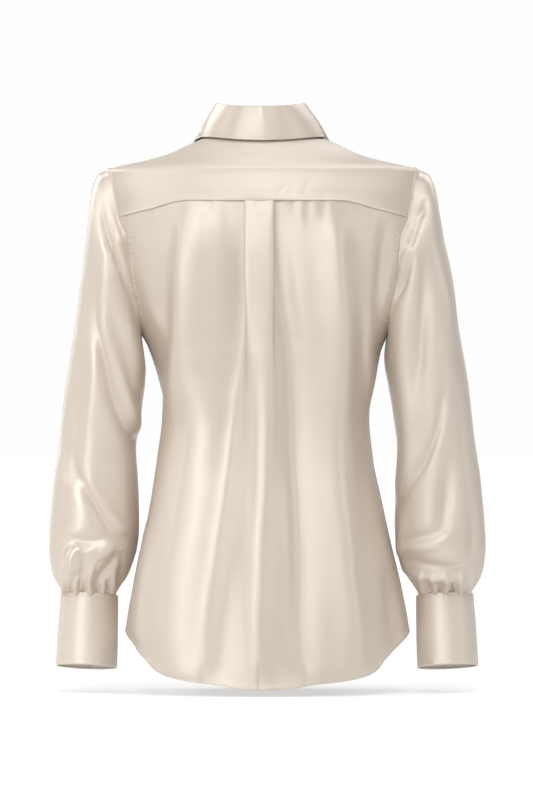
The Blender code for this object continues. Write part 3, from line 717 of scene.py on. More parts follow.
def circle(count: int) -> list[tuple[float, float]]:
    """Cosine and sine of even steps round a circle."""
    return [(math.cos(math.tau * k / count), math.sin(math.tau * k / count)) for k in range(count)]


def smooth_line(line: Array, between: int = 5) -> Array:
    """Catmull-Rom curve through a line's places.

    Args:
        line: Places, one a row.
        between: Steps between two places.

    Returns:
        The finer line.
    """
    ends = np.vstack([2 * line[0] - line[1], line, 2 * line[-1] - line[-2]])
    t = np.linspace(0, 1, between, endpoint=False)[:, None]
    parts = []
    for a, b, c, d in zip(ends, ends[1:], ends[2:], ends[3:]):
        bend, twist = 2 * a - 5 * b + 4 * c - d, 3 * b - a - 3 * c + d
        parts.append(0.5 * (2 * b + (c - a) * t + bend * t**2 + twist * t**3))
    return np.vstack([*parts, line[-1:]])


def crease_height(creases: tuple[Crease, ...], across: Array, up: Array) -> Array:
    """How far a set of creases moves the cloth out.

    Args:
        creases: The creases.
        across: X of each point of the cloth.
        up: Z of each point of the cloth.

    Returns:
        Heights in the same shape.
    """
    total = np.zeros(np.broadcast(across, up).shape)
    for crease in creases:
        line = smooth_line(np.array(crease.line, float))
        reach = 3 * max(crease.left, crease.right)
        low, high = line[:, :2].min(axis=0) - reach, line[:, :2].max(axis=0) + reach
        near = (across > low[0]) & (across < high[0]) & (up > low[1]) & (up < high[1])
        if near.any():
            total[near] += one_crease(crease, line, across[near], up[near])
    return total


def placed(folds: tuple[Fold, ...], back: float, depth: float) -> tuple[Crease, ...]:
    """Folds of the camera's frame as creases on the cloth.

    Args:
        folds: The folds.
        back: How far behind the blouse's middle the cloth lies.
        depth: Height of a strength of 1.

    Returns:
        The creases.
    """
    return tuple(
        Crease(
            tuple((*VIEW.place(column, row, back), round(s * depth, 1)) for column, row, s in fold.line),
            fold.left,
            fold.right,
        )
        for fold in folds
    )


def deepened(ridges: tuple[Crease, ...], depth: float) -> tuple[Crease, ...]:
    """Creases whose heights are all taken times one depth.

    Args:
        ridges: Creases with the strengths that they have for a depth of 1.
        depth: Height of a strength of 1.

    Returns:
        The creases.
    """
    return tuple(
        Crease(tuple((x, z, round(s * depth, 1)) for x, z, s in c.line), c.left, c.right) for c in ridges
    )


def one_crease(crease: Crease, line: Array, across: Array, up: Array) -> Array:
    """Height that one crease gives each point.

    Args:
        crease: The crease, for its half widths.
        line: Its smooth line, as rows of x, z and height.
        across: X of each point.
        up: Z of each point.

    Returns:
        The heights.
    """
    start, run = line[:-1], np.diff(line, axis=0)
    dx, dz = across[:, None] - start[None, :, 0], up[:, None] - start[None, :, 1]
    length = np.maximum((run[:, :2] ** 2).sum(axis=1), 1e-9)
    t = np.clip((dx * run[:, 0] + dz * run[:, 1]) / length, 0, 1)
    away = (dx - t * run[:, 0]) ** 2 + (dz - t * run[:, 1]) ** 2
    best = away.argmin(axis=1)
    rows = np.arange(len(across))
    turn = run[best, 0] * dz[rows, best] - run[best, 1] * dx[rows, best]
    half = np.where(turn > 0, crease.left, crease.right)
    height = start[best, 2] + run[best, 2] * t[rows, best]
    return height * np.exp(-away[rows, best] / half**2)


@dataclass(frozen=True)
class Crumple:
    """Faint unevenness of soft satin, as a sum of smooth waves in space."""

    seed: int
    waves: int = 14
    shortest: float = 26.0
    longest: float = 110.0
    height: float = 0.3

    def __call__(self, points: Array) -> Array:
        """Height at each point.

        Args:
            points: Points in millimetres.

        Returns:
            Heights in millimetres.
        """
        draw = np.random.default_rng(self.seed)
        total = np.zeros(points.shape[:-1])
        for _ in range(self.waves):
            way = unit(draw.normal(size=3) * (1.0, 1.0, 0.45))
            size = draw.uniform(self.shortest, self.longest)
            start = draw.uniform(0, math.tau)
            total += np.sin(points @ way * (math.tau / size) + start) * size / self.longest
        return total * self.height / math.sqrt(self.waves)


@dataclass(frozen=True)
class Torso:
    """Shape of the body under the panels, filled out as worn."""

    left: Track = Track.of(BODY, "z", "left")
    right: Track = Track.of(BODY, "z", "right")
    back: Track = Track.of(BODY, "z", "back")
    front: Track = Track.of(BODY, "z", "front")
    arm_back: Track = Track.of(ARMHOLE, "z", "back")
    arm_front: Track = Track.of(ARMHOLE, "z", "front")
    crumple: Crumple = Crumple(seed=11)
    calm_phi: float = 9.0
    calm_drop: float = 30.0
    turn_depth: float = 26.0

    def half(self, side: Array, z: Array) -> Array:
        """Half width on a side."""
        return np.where(side > 0, self.left(z), self.right(z))

    def depth(self, phi: Array, z: Array) -> Array:
        """Depth behind or in front of the middle."""
        return np.where(phi < 90, self.back(z), self.front(z))

    def phi_at(self, side: Array, x: Array, z: Array) -> Array:
        """Angle from the centre at which the half width is x."""
        return np.degrees(np.arcsin(np.clip(x / self.half(side, z), -1, 1)))

    def point(self, side: Array, phi: Array, z: Array, out: Array | float = 0.0) -> Array:
        """Points of the body, moved out along its true normal.

        Args:
            side: 1 for the wearer's left, -1 for the right.
            phi: Angle from centre back (0) to centre front (180).
            z: Height.
            out: Distance outward.

        Returns:
            Points, with X, Y and Z on the last axis.
        """
        side, phi, z, out = np.broadcast_arrays(side, phi, z, out)
        turn = np.radians(phi)
        half, depth = self.half(side, z), self.depth(phi, z)
        base = np.stack([side * half * np.sin(turn), depth * np.cos(turn), z], axis=-1)
        around = np.stack([side * half * np.cos(turn), -depth * np.sin(turn), 0 * z], axis=-1)
        grow_x = (self.half(side, z + 1) - self.half(side, z - 1)) / 2
        grow_y = (self.depth(phi, z + 1) - self.depth(phi, z - 1)) / 2
        rise = np.stack([side * grow_x * np.sin(turn), grow_y * np.cos(turn), 1 + 0 * z], axis=-1)
        normal = unit(np.cross(around, rise)) * (-side * out)[..., None]
        return base + normal

    def drape(self, side: Array, phi: Array, z: Array) -> Array:
        """Height of the hanging folds, calm along the armholes.

        Args:
            side: 1 or -1.
            phi: Angle from centre back.
            z: Height.

        Returns:
            Heights in millimetres.
        """
        base = self.point(side, phi, z)
        x, y = base[..., 0], base[..., 1]
        behind = crease_height(BACK_CREASES, x, z) * below_seam(z) + crease_height(YOKE_CREASES, x, z)
        ahead = crease_height(FRONT_CREASES, x, z)
        arm = np.where(phi < 90, self.arm_back(z) - phi, phi - self.arm_front(z))
        calm = ease(np.maximum(arm / self.calm_phi, (UNDERARM_Z - z) / self.calm_drop))
        folds = behind * ease(y / self.turn_depth) + ahead * ease(-y / self.turn_depth)
        return calm * (folds + self.crumple(base))


BACK_CREASES = placed(BACK_FOLDS, BACK_OUT, BACK_DEPTH)
PLEAT_CREASES = placed(PLEAT_FOLDS, BACK_OUT, BACK_DEPTH)
YOKE_CREASES = placed(YOKE_FOLDS, YOKE_OUT, YOKE_DEPTH)
LEFT_CREASES = placed(LEFT_FOLDS, SLEEVE_OUT, LEFT_DEPTH)
RIGHT_CREASES = placed(RIGHT_FOLDS, SLEEVE_OUT, RIGHT_DEPTH)
FRONT_CREASES = deepened(FRONT_RIDGES, FRONT_DEPTH)
HIDDEN_CREASES = deepened(HIDDEN_RIDGES, HIDDEN_DEPTH)
TORSO = Torso()
HEM_AT = Track.of(HEM, "phi", "z")
NECK_AT = Track.of(COLLAR, "phi", "z")
SEAM_AT = Track.of(YOKE[: YOKE_CORNER + 1], "edge_phi", "edge_z")


@dataclass
class Panel:
    """One piece of cloth, held as a grid of points on its outer face."""

    name: str
    points: Array
    closed: bool = False
    thick: float = 0.8

    def normals(self) -> Array:
        """Outward directions at the grid's points.

        Returns:
            An array shaped as the points.
        """
        down = np.gradient(self.points, axis=0)
        if self.closed:
            across = np.roll(self.points, -1, axis=1) - np.roll(self.points, 1, axis=1)
        else:
            across = np.gradient(self.points, axis=1)
        return unit(np.cross(down, across))

    def runs(self, axis: int, back: bool) -> Array:
        """Distance of each point from one edge, measured along the cloth.

        Args:
            axis: 0 for the top or bottom edge, 1 for a side edge.
            back: True to measure from the last row or column.

        Returns:
            Distances in millimetres.
        """
        grid = np.flip(self.points, axis=axis) if back else self.points
        steps = np.linalg.norm(np.diff(grid, axis=axis), axis=-1)
        pad = [(0, 0), (0, 0)]
        pad[axis] = (1, 0)
        total = np.cumsum(np.pad(steps, pad), axis=axis)
        return np.flip(total, axis=axis) if back else total

    def line(self, axis: int, back: bool, distance: float) -> tuple[Array, Array]:
        """Line on the cloth at a distance from one edge, with its normals.

        Args:
            axis: As in runs.
            back: As in runs.
            distance: Millimetres in from the edge.

        Returns:
            Points and outward directions along the line.
        """
        runs, points, normals = self.runs(axis, back), self.points, self.normals()
        if axis == 1:
            runs, points, normals = runs.T, points.swapaxes(0, 1), normals.swapaxes(0, 1)
        order = slice(None, None, -1) if back else slice(None)
        found = [
            [np.interp(distance, runs[order, c], field[order, c, k]) for k in range(3)]
            for field in (points, normals)
            for c in range(points.shape[1])
        ]
        half = points.shape[1]
        return np.array(found[:half]), unit(np.array(found[half:]))

    def size(self) -> tuple[float, float, float]:
        """Width, length and area of the cloth as it lies.

        Returns:
            Metres, metres and square metres.
        """
        p = self.points * MM
        if self.closed:
            p = np.concatenate([p, p[:, :1]], axis=1)
        wide = np.linalg.norm(np.diff(p, axis=1), axis=-1).sum(axis=1).max()
        long = np.linalg.norm(np.diff(p, axis=0), axis=-1).sum(axis=0).max()
        a, b = p[1:, 1:] - p[:-1, :-1], p[1:, :-1] - p[:-1, 1:]
        return wide, long, float(np.linalg.norm(np.cross(a, b), axis=-1).sum() / 2)

    def build(self, finish: "Satin") -> bpy.types.Object:
        """Makes the mesh, with its thickness inward and the weave's coordinates.

        Args:
            finish: Cloth to dress it in.

        Returns:
            The piece.
        """
        rows, columns = self.points.shape[:2]
        index = np.arange(rows * columns).reshape(rows, columns)
        right = np.roll(index, -1, axis=1) if self.closed else index[:, 1:]
        left = index if self.closed else index[:, :-1]
        faces = np.stack([left[:-1], left[1:], right[1:], right[:-1]], axis=-1).reshape(-1, 4)
        mesh = bpy.data.meshes.new(self.name)
        mesh.from_pydata((self.points.reshape(-1, 3) * MM).tolist(), [], faces.tolist())
        self.lay_weave(mesh, faces)
        obj = place(self.name, mesh, finish.material())
        shell = obj.modifiers.new("cloth", "SOLIDIFY")
        shell.thickness, shell.offset = self.thick * MM, -1
        return obj

    def lay_weave(self, mesh: bpy.types.Mesh, faces: Array) -> None:
        """Gives the mesh coordinates that run along the cloth's own threads, in metres.

        Args:
            mesh: The piece's mesh.
            faces: Its faces.
        """
        columns = self.points.shape[1]
        u = self.runs(1, False) * MM
        v = self.runs(0, False) * MM
        corners = np.stack([u.reshape(-1)[faces], v.reshape(-1)[faces]], axis=-1)
        if self.closed:
            last = faces[:, 0] % columns == columns - 1
            step = np.median(np.diff(u, axis=1))
            corners[last, 2:, 0] = corners[last, :2, 0][:, ::-1] + step
        layer = mesh.uv_layers.new(name="weave")
        layer.data.foreach_set("uv", corners.reshape(-1).astype(np.float32))


def linked(name: str, data: bpy.types.ID) -> bpy.types.Object:
    """New object of the scene, with the given data.

    Args:
        name: Its name.
        data: Mesh, light or camera.

    Returns:
        The object.
    """
    obj = bpy.data.objects.new(name, data)
    bpy.context.scene.collection.objects.link(obj)
    return obj


def place(name: str, mesh: bpy.types.Mesh, surface: bpy.types.Material) -> bpy.types.Object:
    """Links a smooth-shaded object that rides on the garment's body.

    Args:
        name: Name of the piece.
        mesh: Its mesh, in place.
        surface: Its material.

    Returns:
        The piece.
    """
    mesh.shade_smooth()
    mesh.materials.append(surface)
    obj = linked(name, mesh)
    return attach(obj, BODY_NAME)


class Nodes:
    """Small helper that adds nodes to one material."""

    def __init__(self, name: str) -> None:
        """Starts a material with its Principled shader.

        Args:
            name: Name of the material.
        """
        self.made = bpy.data.materials.new(name)
        self.made.use_nodes = True
        self.tree = self.made.node_tree
        self.shader = self.tree.nodes["Principled BSDF"]

    def add(self, kind: str, links: dict | None = None, **values: object) -> bpy.types.Node:
        """Adds a node, sets its fields and sockets, and links its inputs.

        Args:
            kind: Blender's name for the node.
            links: Output socket for each input, by name or number.
            values: Fields, or sockets where no field has that name.

        Returns:
            The node.
        """
        node = self.tree.nodes.new(kind)
        for key, value in values.items():
            if hasattr(node, key):
                setattr(node, key, value)
            else:
                node.inputs[key.replace("_", " ")].default_value = value
        for key, socket in (links or {}).items():
            self.tree.links.new(node.inputs[key], socket)
        return node

    def give(self, **values: object) -> None:
        """Sets sockets of the shader, with _ for each space in a socket's name."""
        for key, value in values.items():
            self.shader.inputs[key.replace("_", " ")].default_value = value

    def blend(self, factor: bpy.types.NodeSocket, low: tuple, high: tuple) -> bpy.types.NodeSocket:
        """Colour between two, by a factor.

        Args:
            factor: Value from 0 to 1.
            low: Colour at 0.
            high: Colour at 1.

        Returns:
            The colour's socket.
        """
        ramp = self.add("ShaderNodeValToRGB", {"Fac": factor})
        ramp.color_ramp.elements[0].position, ramp.color_ramp.elements[1].position = 0.3, 0.7
        ramp.color_ramp.elements[0].color = (*low, 1)
        ramp.color_ramp.elements[1].color = (*high, 1)
        return ramp.outputs["Color"]

    def steps(self, factor: bpy.types.NodeSocket, low: float, high: float) -> bpy.types.NodeSocket:
        """Value between two, by a factor.

        Args:
            factor: Value from 0 to 1.
            low: Value at 0.
            high: Value at 1.

        Returns:
            The value's socket.
        """
        node = self.add("ShaderNodeMapRange", {"Value": factor})
        node.inputs["To Min"].default_value, node.inputs["To Max"].default_value = low, high
        return node.outputs["Result"]

    def finish(
        self, colour: bpy.types.NodeSocket, rough: bpy.types.NodeSocket, bump: bpy.types.Node
    ) -> None:
        """Links the surface's colour, roughness and bump.

        Args:
            colour: Base colour.
            rough: Roughness.
            bump: Last bump node.
        """
        self.tree.links.new(self.shader.inputs["Base Color"], colour)
        self.tree.links.new(self.shader.inputs["Roughness"], rough)
        self.tree.links.new(self.shader.inputs["Normal"], bump.outputs["Normal"])


@dataclass(frozen=True)
class Satin:
    """Silk satin: soft sheen over a fine weave, a little cloudy in colour and gloss."""

    name: str
    # painted light: this factor scales the base colour, lighter for a more lit copy of the satin and darker
    # for a more shaded one
    shade: float = 1.0
    colour: tuple[float, float, float] = (0.615, 0.52, 0.435)
    rough: tuple[float, float] = (0.46, 0.52)
    sheen: float = 0.15
    gleam: float = 0.24
    grain: float = 0.8
    turn: float = 0.25
    weave: float = 0.00042
    ior: float = 1.9
    gloss: float = 0.95
    tint: tuple[float, float, float] = (0.88, 0.98, 1.0)
    cloudy: tuple[float, float, float] = (0.965, 0.955, 0.94)

    def material(self) -> bpy.types.Material:
        """Builds the cloth's material.

        Returns:
            The material.
        """
        nodes = Nodes(self.name)
        uv = nodes.add("ShaderNodeUVMap", uv_map="weave").outputs["UV"]
        where = nodes.add("ShaderNodeTexCoord").outputs["Object"]
        scale = math.tau / (20 * self.weave)
        warp = nodes.add("ShaderNodeTexWave", {"Vector": uv}, bands_direction="X", Scale=scale)
        weft = nodes.add("ShaderNodeTexWave", {"Vector": uv}, bands_direction="Y", Scale=scale * 0.8)
        crossed = {0: warp.outputs["Fac"], 1: weft.outputs["Fac"]}
        threads = nodes.add("ShaderNodeMath", crossed, operation="MULTIPLY").outputs[0]
        cloud = nodes.add("ShaderNodeTexNoise", {"Vector": where}, Scale=9.0, Detail=3.0).outputs["Fac"]
        drift = nodes.add("ShaderNodeMapping", {"Vector": where}, Scale=(46.0, 46.0, 15.0))
        slub = nodes.add("ShaderNodeTexNoise", {"Vector": drift.outputs["Vector"]}, Scale=1.0, Detail=4.0)
        slub = slub.outputs["Fac"]
        fine = nodes.add("ShaderNodeBump", {"Height": threads}, Strength=0.25, Distance=0.00004)
        uneven = {"Height": slub, "Normal": fine.outputs["Normal"]}
        soft = nodes.add("ShaderNodeBump", uneven, Strength=0.35, Distance=0.0009)
        low = tuple(c * self.shade * k for c, k in zip(self.colour, self.cloudy))
        high = tuple(c * self.shade for c in self.colour)
        nodes.give(Metallic=self.gleam, IOR=self.ior, Specular_IOR_Level=self.gloss)
        nodes.give(Specular_Tint=(*self.tint, 1), Anisotropic=self.grain, Anisotropic_Rotation=self.turn)
        nodes.give(Sheen_Weight=self.sheen, Sheen_Roughness=0.4, Sheen_Tint=(1.0, 1.0, 1.0, 1))
        tangent = nodes.add("ShaderNodeTangent", direction_type="UV_MAP", uv_map="weave")
        nodes.tree.links.new(nodes.shader.inputs["Tangent"], tangent.outputs["Tangent"])
        nodes.finish(nodes.blend(cloud, low, high), nodes.steps(slub, *self.rough), soft)
        return nodes.made


@dataclass(frozen=True)
class Thread:
    """Sewing thread: a twisted strand, a touch lighter than the cloth."""

    name: str = "sewing_thread"
    colour: tuple[float, float, float] = (0.78, 0.70, 0.61)

    def material(self) -> bpy.types.Material:
        """Builds the thread's material.

        Returns:
            The material.
        """
        nodes = Nodes(self.name)
        where = nodes.add("ShaderNodeTexCoord").outputs["Object"]
        twist = nodes.add("ShaderNodeTexNoise", {"Vector": where}, Scale=2600.0, Detail=2.0).outputs["Fac"]
        bump = nodes.add("ShaderNodeBump", {"Height": twist}, Strength=0.4, Distance=0.0001)
        nodes.give(Sheen_Weight=0.2)
        low = tuple(c * 0.88 for c in self.colour)
        nodes.finish(nodes.blend(twist, low, self.colour), nodes.steps(twist, 0.45, 0.6), bump)
        return nodes.made


@dataclass(frozen=True)
class Pearl:
    """Button resin with the cloudy bands of shell."""

    name: str = "pearly_resin"
    colour: tuple[float, float, float] = (0.84, 0.79, 0.72)

    def material(self) -> bpy.types.Material:
        """Builds the resin's material.

        Returns:
            The material.
        """
        nodes = Nodes(self.name)
        where = nodes.add("ShaderNodeTexCoord").outputs["Object"]
        shell = nodes.add("ShaderNodeTexWave", {"Vector": where}, Scale=60.0, Distortion=6.0, Detail=2.0)
        bands = shell.outputs["Fac"]
        bump = nodes.add("ShaderNodeBump", {"Height": bands}, Strength=0.2, Distance=0.00005)
        nodes.give(Coat_Weight=0.5, Coat_Roughness=0.1)
        low = tuple(c * k for c, k in zip(self.colour, (0.9, 0.92, 0.95)))
        nodes.finish(nodes.blend(bands, low, self.colour), nodes.steps(bands, 0.16, 0.28), bump)
        return nodes.made


@dataclass
class Stitching:
    """Row of topstitches that stands as little capsules on the cloth."""

    name: str
    pitch: float = 2.9
    length: float = 2.1
    radius: float = 0.34
    sides: int = 5
    points: list = field(default_factory=list)
    faces: list = field(default_factory=list)

    def run(self, line: Array, normals: Array) -> None:
        """Sews along a line.

        Args:
            line: Points along it, in millimetres.
            normals: Outward directions there.
        """
        along = distances(line)
        count = int(along[-1] / self.pitch)
        for k in range(count):
            middle = (k + 0.5) * along[-1] / count
            span = np.array([middle - self.length / 2, middle, middle + self.length / 2])
            at = points_at(span, along, line)
            self.stitch(at[0], at[2], unit(points_at(middle, along, normals)))

    def stitch(self, start: Array, end: Array, out: Array) -> None:
        """Adds one capsule from start to end, half sunk in the cloth.

        Args:
            start: First end.
            end: Other end.
            out: Outward direction.
        """
        way = unit(end - start)
        side = np.cross(way, out)
        first = len(self.points)
        lift = out * self.radius * 0.35
        self.points.append(start)
        for share, radius in ((0.14, 0.75), (0.5, 1.0), (0.86, 0.75)):
            centre = mix(start, end, share) + lift
            for across, up in circle(self.sides):
                self.points.append(centre + (side * across + out * up) * self.radius * radius)
        self.points.append(end)
        last = first + 1 + 3 * self.sides
        for k in range(self.sides):
            after = (k + 1) % self.sides
            self.faces.append((first, first + 1 + after, first + 1 + k))
            for ring in (0, self.sides):
                a, b = first + 1 + ring + k, first + 1 + ring + after
                self.faces.append((a, b, b + self.sides, a + self.sides))
            self.faces.append((last, last - self.sides + k, last - self.sides + after))

    def build(self, thread: bpy.types.Material) -> bpy.types.Object:
        """Makes all the stitches one mesh.

        Args:
            thread: Material of the thread.

        Returns:
            The piece.
        """
        mesh = bpy.data.meshes.new(self.name)
        mesh.from_pydata((np.array(self.points) * MM).tolist(), [], self.faces)
        return place(self.name, mesh, thread)


@dataclass
class Piece:
    """Cloth panel with what it stands for and how it was cut."""

    panel: Panel
    finish: Satin
    flat: tuple[float, float]
    area: float | None = None
    held: Held = Held.HUNG
    rests_on: tuple[str, ...] = ()

    def dress(self) -> bpy.types.Object:
        """Builds the cloth, hides the model's part that it replaces and logs its size as it lies.

        Returns:
            The piece.
        """
        node = self.panel.name.removesuffix("_cloth")
        obj = self.panel.build(self.finish)
        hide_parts(node)
        wide, long, area = self.panel.size()
        LOG.info("%s lies %.3f wide, %.3f long, %.4f square metres", obj.name, wide, long, area)
        return obj


@dataclass
class Bodice:
    """Yoke, back and fronts, with the topstitching along their seams."""

    thread: bpy.types.Material
    upper_rows: int = 112
    lower_rows: int = 104
    side_columns: int = 72
    allowance: float = 6.5
    ridge: float = 0.55
    stitch_in: float = 5.2
    hem_depth: float = 5.5
    hem_height: float = 0.7
    pucker_height: float = 0.42
    front_columns: int = 84
    back_under: float = 0.46
    front_under: float = 0.42
    lap: float = 14.0
    band: float = 16.0
    band_rise: float = 1.1
    band_stitch: float = 4.0
    under: float = 1.9
    tucked_rise: tuple[float, float] = (5.0, 0.8)
    tucked_sink: tuple[float, float] = (1.1, 0.55)
    neck_rise: tuple[float, float] = (1.5, 0.4)
    yoke_stitch: float = 1.6

    def build(self) -> None:
        """Makes every panel of the bodice."""
        back, yoke = self.back(), self.yoke()
        fronts = {side: self.front(side) for side in Side}
        band = self.button_band()
        seams = Stitching("stitches_bodice")
        for end in (False, True):
            seams.run(*self.armhole_line(back, end))
            seams.run(*yoke_arm(yoke, end, self.stitch_in))
        seams.run(*yoke.line(0, True, self.yoke_stitch))
        hems = Stitching("stitches_hem")
        hems.run(*back.line(0, True, self.hem_depth))
        for side, front in fronts.items():
            hems.run(*front.line(0, True, self.hem_depth))
            seams.run(*self.armhole_line(front, side is Side.LEFT))
        closing = Stitching("stitches_band")
        for end in (False, True):
            closing.run(*band.line(1, end, self.band_stitch))
        sewn = [made.build(self.thread) for made in (seams, hems, closing)]
        silk = {name: Satin(f"silk_{name}") for name in ("back", "front_left", "front_right", "band")}
        silk["yoke"] = Satin("silk_yoke", turn=0.0)
        Piece(yoke, silk["yoke"], (0.52, 0.30), 0.078, rests_on=("wearer_shoulders",)).dress()
        Piece(back, silk["back"], (0.53, 0.66), 0.27, rests_on=("yoke_cloth",)).dress()
        for side in Side:
            name = f"front_{side.word}"
            Piece(fronts[side], silk[name], (0.29, 0.66), 0.145, rests_on=("yoke_cloth",)).dress()
        Piece(band, silk["band"], (0.034, 0.66), rests_on=("front_right_cloth",)).dress()

    def armhole_line(self, panel: Panel, end: bool) -> tuple[Array, Array]:
        """Stitch line beside the armhole, down to the underarm.

        Args:
            panel: Back or front.
            end: True for the last column's side.

        Returns:
            Points and normals along the line.
        """
        line, normals = panel.line(1, end, self.stitch_in)
        keep = line[:, 2] > UNDERARM_Z + 2
        return line[keep], normals[keep]

    def edge_rise(self, distance: Array) -> Array:
        """Height of a turned and pressed edge, rounded at its fold, by the distance in from it."""
        plateau = self.ridge * (1 - ease((distance - self.allowance) / 2.0))
        return plateau - 0.5 * rounded(distance, 0.7)

    def pucker(self, distance: Array, along: Array, seed: int) -> Array:
        """Small uneven puckers that the stitching draws beside a seam.

        Args:
            distance: Millimetres in from the edge.
            along: Millimetres along the seam.
            seed: Seed of this seam's waves.

        Returns:
            Heights.
        """
        draw = np.random.default_rng(seed)
        wave = sum(np.sin(along * math.tau / s + draw.uniform(0, math.tau)) for s in (5.3, 6.4, 9.7))
        dip = -0.35 * groove(distance, self.stitch_in, 0.9)
        return wave * self.pucker_height * groove(distance, self.stitch_in, 3.0) + dip

    def hem_rise(self, distance: Array) -> Array:
        """Height of the narrow turned hem, with the groove of its stitches, by the distance up."""
        fold = self.hem_height * (1 - ease((distance - self.hem_depth) / 1.2))
        return fold - 0.4 * rounded(distance, 0.8) - 0.4 * groove(distance, self.hem_depth, 0.9)

    def down(self, under: float) -> Array:
        """Shares of the way down a panel for its rows, closest beside the armhole and at the hem.

        Args:
            under: Share at the underarm.

        Returns:
            A column of shares, of which the first two rows are for the part under the yoke.
        """
        upper = np.linspace(0, under, self.upper_rows)
        lower = np.linspace(under, 1, self.lower_rows)[1:]
        hem = [0.9945, 0.9968, 0.9982, 0.9993]
        return np.sort(np.concatenate([np.zeros(2), upper, lower, hem]))[:, None]

    def back(self) -> Panel:
        """Back panel with its box pleat and curved hem.

        Returns:
            The panel, wearer's left edge first.
        """
        t = self.down(self.back_under)
        lift, hidden = np.zeros(t.shape), np.zeros(t.shape)
        lift[:2, 0], hidden[:2, 0] = self.tucked_rise, self.tucked_sink
        middle, edge = self.back_height(t)
        edge_phi = TORSO.arm_back(edge)
        shares = np.linspace(0, 1, self.side_columns) ** 0.92
        blocks = []
        for side, order in ((1, -1), (-1, 1)):
            phi, out = self.pleat_edge(side, middle)
            first = phi[:, :1]
            plain = mix(first, edge_phi + 0.35 * ease((edge - UNDERARM_Z) / 12), shares[1:])
            phi = np.concatenate([phi[:, ::-1], plain], axis=1)
            out = np.concatenate([out[:, ::-1], np.zeros(plain.shape)], axis=1)
            z = self.row_height(t, phi, edge_phi, middle, edge)
            blocks.append([grid[:, ::order] for grid in (np.full(phi.shape, side), phi, z, out)])
        side, phi, z, out = (np.concatenate(pair, axis=1) for pair in zip(*blocks))
        z = z + lift
        rough = Panel("back", TORSO.point(side, phi, z))
        x = rough.points[..., 0]
        beside = crease_height(PLEAT_CREASES, x, z) * (1 - self.pleat_share(out, z)) * below_seam(z)
        drape = TORSO.drape(side, phi, z) + tuck_height(x, z) + beside
        out = out + drape - hidden + self.seams_of(rough, (False, True), 21)
        out = out + self.hem_rise(rough.runs(0, True))
        return Panel("back_cloth", TORSO.point(side, phi, z, out))

    def seams_of(self, rough: Panel, ends: tuple[bool, ...], seed: int) -> Array:
        """Raised allowance and puckers along the armholes of a panel.

        Args:
            rough: The panel before its folds.
            ends: Which of its sides meet a sleeve.
            seed: Seed for the puckers.

        Returns:
            Heights.
        """
        z = rough.points[..., 2]
        above = ease((z - UNDERARM_Z) / 10)
        total = np.zeros(z.shape)
        for end in ends:
            distance = rough.runs(1, end)
            along = rough.runs(0, False)[:, -1 if end else 0][:, None]
            total += above * (self.edge_rise(distance) + self.pucker(distance, along, seed + end))
        return total

    def back_height(self, t: Array) -> tuple[Array, Array]:
        """Height of the back's rows at the centre and at the outer edge.

        Args:
            t: Share of the way from the yoke seam to the hem.

        Returns:
            Heights at the centre and at the edge.
        """
        under, middle_z = self.back_under, -226.0
        high, low = np.clip(t / under, 0, 1), np.clip((t - under) / (1 - under), 0, 1)
        eased = 1 - (1 - high) ** 1.5
        middle = mix(YOKE[0].edge_z, middle_z, high) + (HEM_AT(0) - middle_z) * low
        edge = mix(YOKE[YOKE_CORNER].edge_z, UNDERARM_Z, eased) + (HEM_AT(90) - UNDERARM_Z) * low
        return middle, edge

    @staticmethod
    def row_height(t: Array, phi: Array, edge_phi: Array, middle: Array, edge: Array) -> Array:
        """Height on a row of the back, along the yoke seam at the top and the hem at the bottom.

        Args:
            t: Share of the way down.
            phi: Angle of each point.
            edge_phi: Angle of the row's edge.
            middle: Height at the centre.
            edge: Height at the edge.

        Returns:
            Heights.
        """
        share = np.clip(phi / edge_phi, 0, 1)
        corner = YOKE[YOKE_CORNER]
        seam = SEAM_AT(share * corner.edge_phi) - mix(YOKE[0].edge_z, corner.edge_z, share**2)
        low = HEM_AT(phi) - mix(HEM_AT(0), HEM_AT(90), share**2)
        return mix(middle, edge, share**2) + (1 - ease(t / 0.3)) * seam + hem_share(t) * low

    @staticmethod
    def pleat_share(out: Array, z: Array) -> Array:
        """Share of the pleat's height at each point: 0 on the plain cloth, 1 on the pleat."""
        proud = Track.of(PLEAT, "z", "height")(z)
        return np.clip(out / np.maximum(proud, 0.05), 0, 1)

    @staticmethod
    def pleat_edge(side: int, middle: Array) -> tuple[Array, Array]:
        """Columns across half of the box pleat, from the plain cloth to its middle.

        Args:
            side: 1 for the left half, -1 for the right.
            middle: Height of each row.

        Returns:
            Angles and heights, one column each.
        """
        name = "left" if side > 0 else "right"
        edge = Track.of(PLEAT, "z", name)(middle) * side
        proud = Track.of(PLEAT, "z", "height")(middle)
        soft = ease((-150 - middle) / 190)
        xs, outs = [], []
        for row in PLEAT_EDGE:
            xs.append(edge + mix(row.sharp_x, row.soft_x, soft))
            outs.append(proud * mix(row.sharp_out, row.soft_out, soft))
        centre = PLEAT_MIDDLE * side
        for share in (0.3, 0.6, 0.85) + ((1.0,) if side > 0 else ()):
            xs.append(mix(xs[len(PLEAT_EDGE) - 1], centre, share))
            outs.append(proud)
        x = np.concatenate(xs, axis=1)
        return TORSO.phi_at(np.array(side), x, middle), np.concatenate(outs, axis=1)

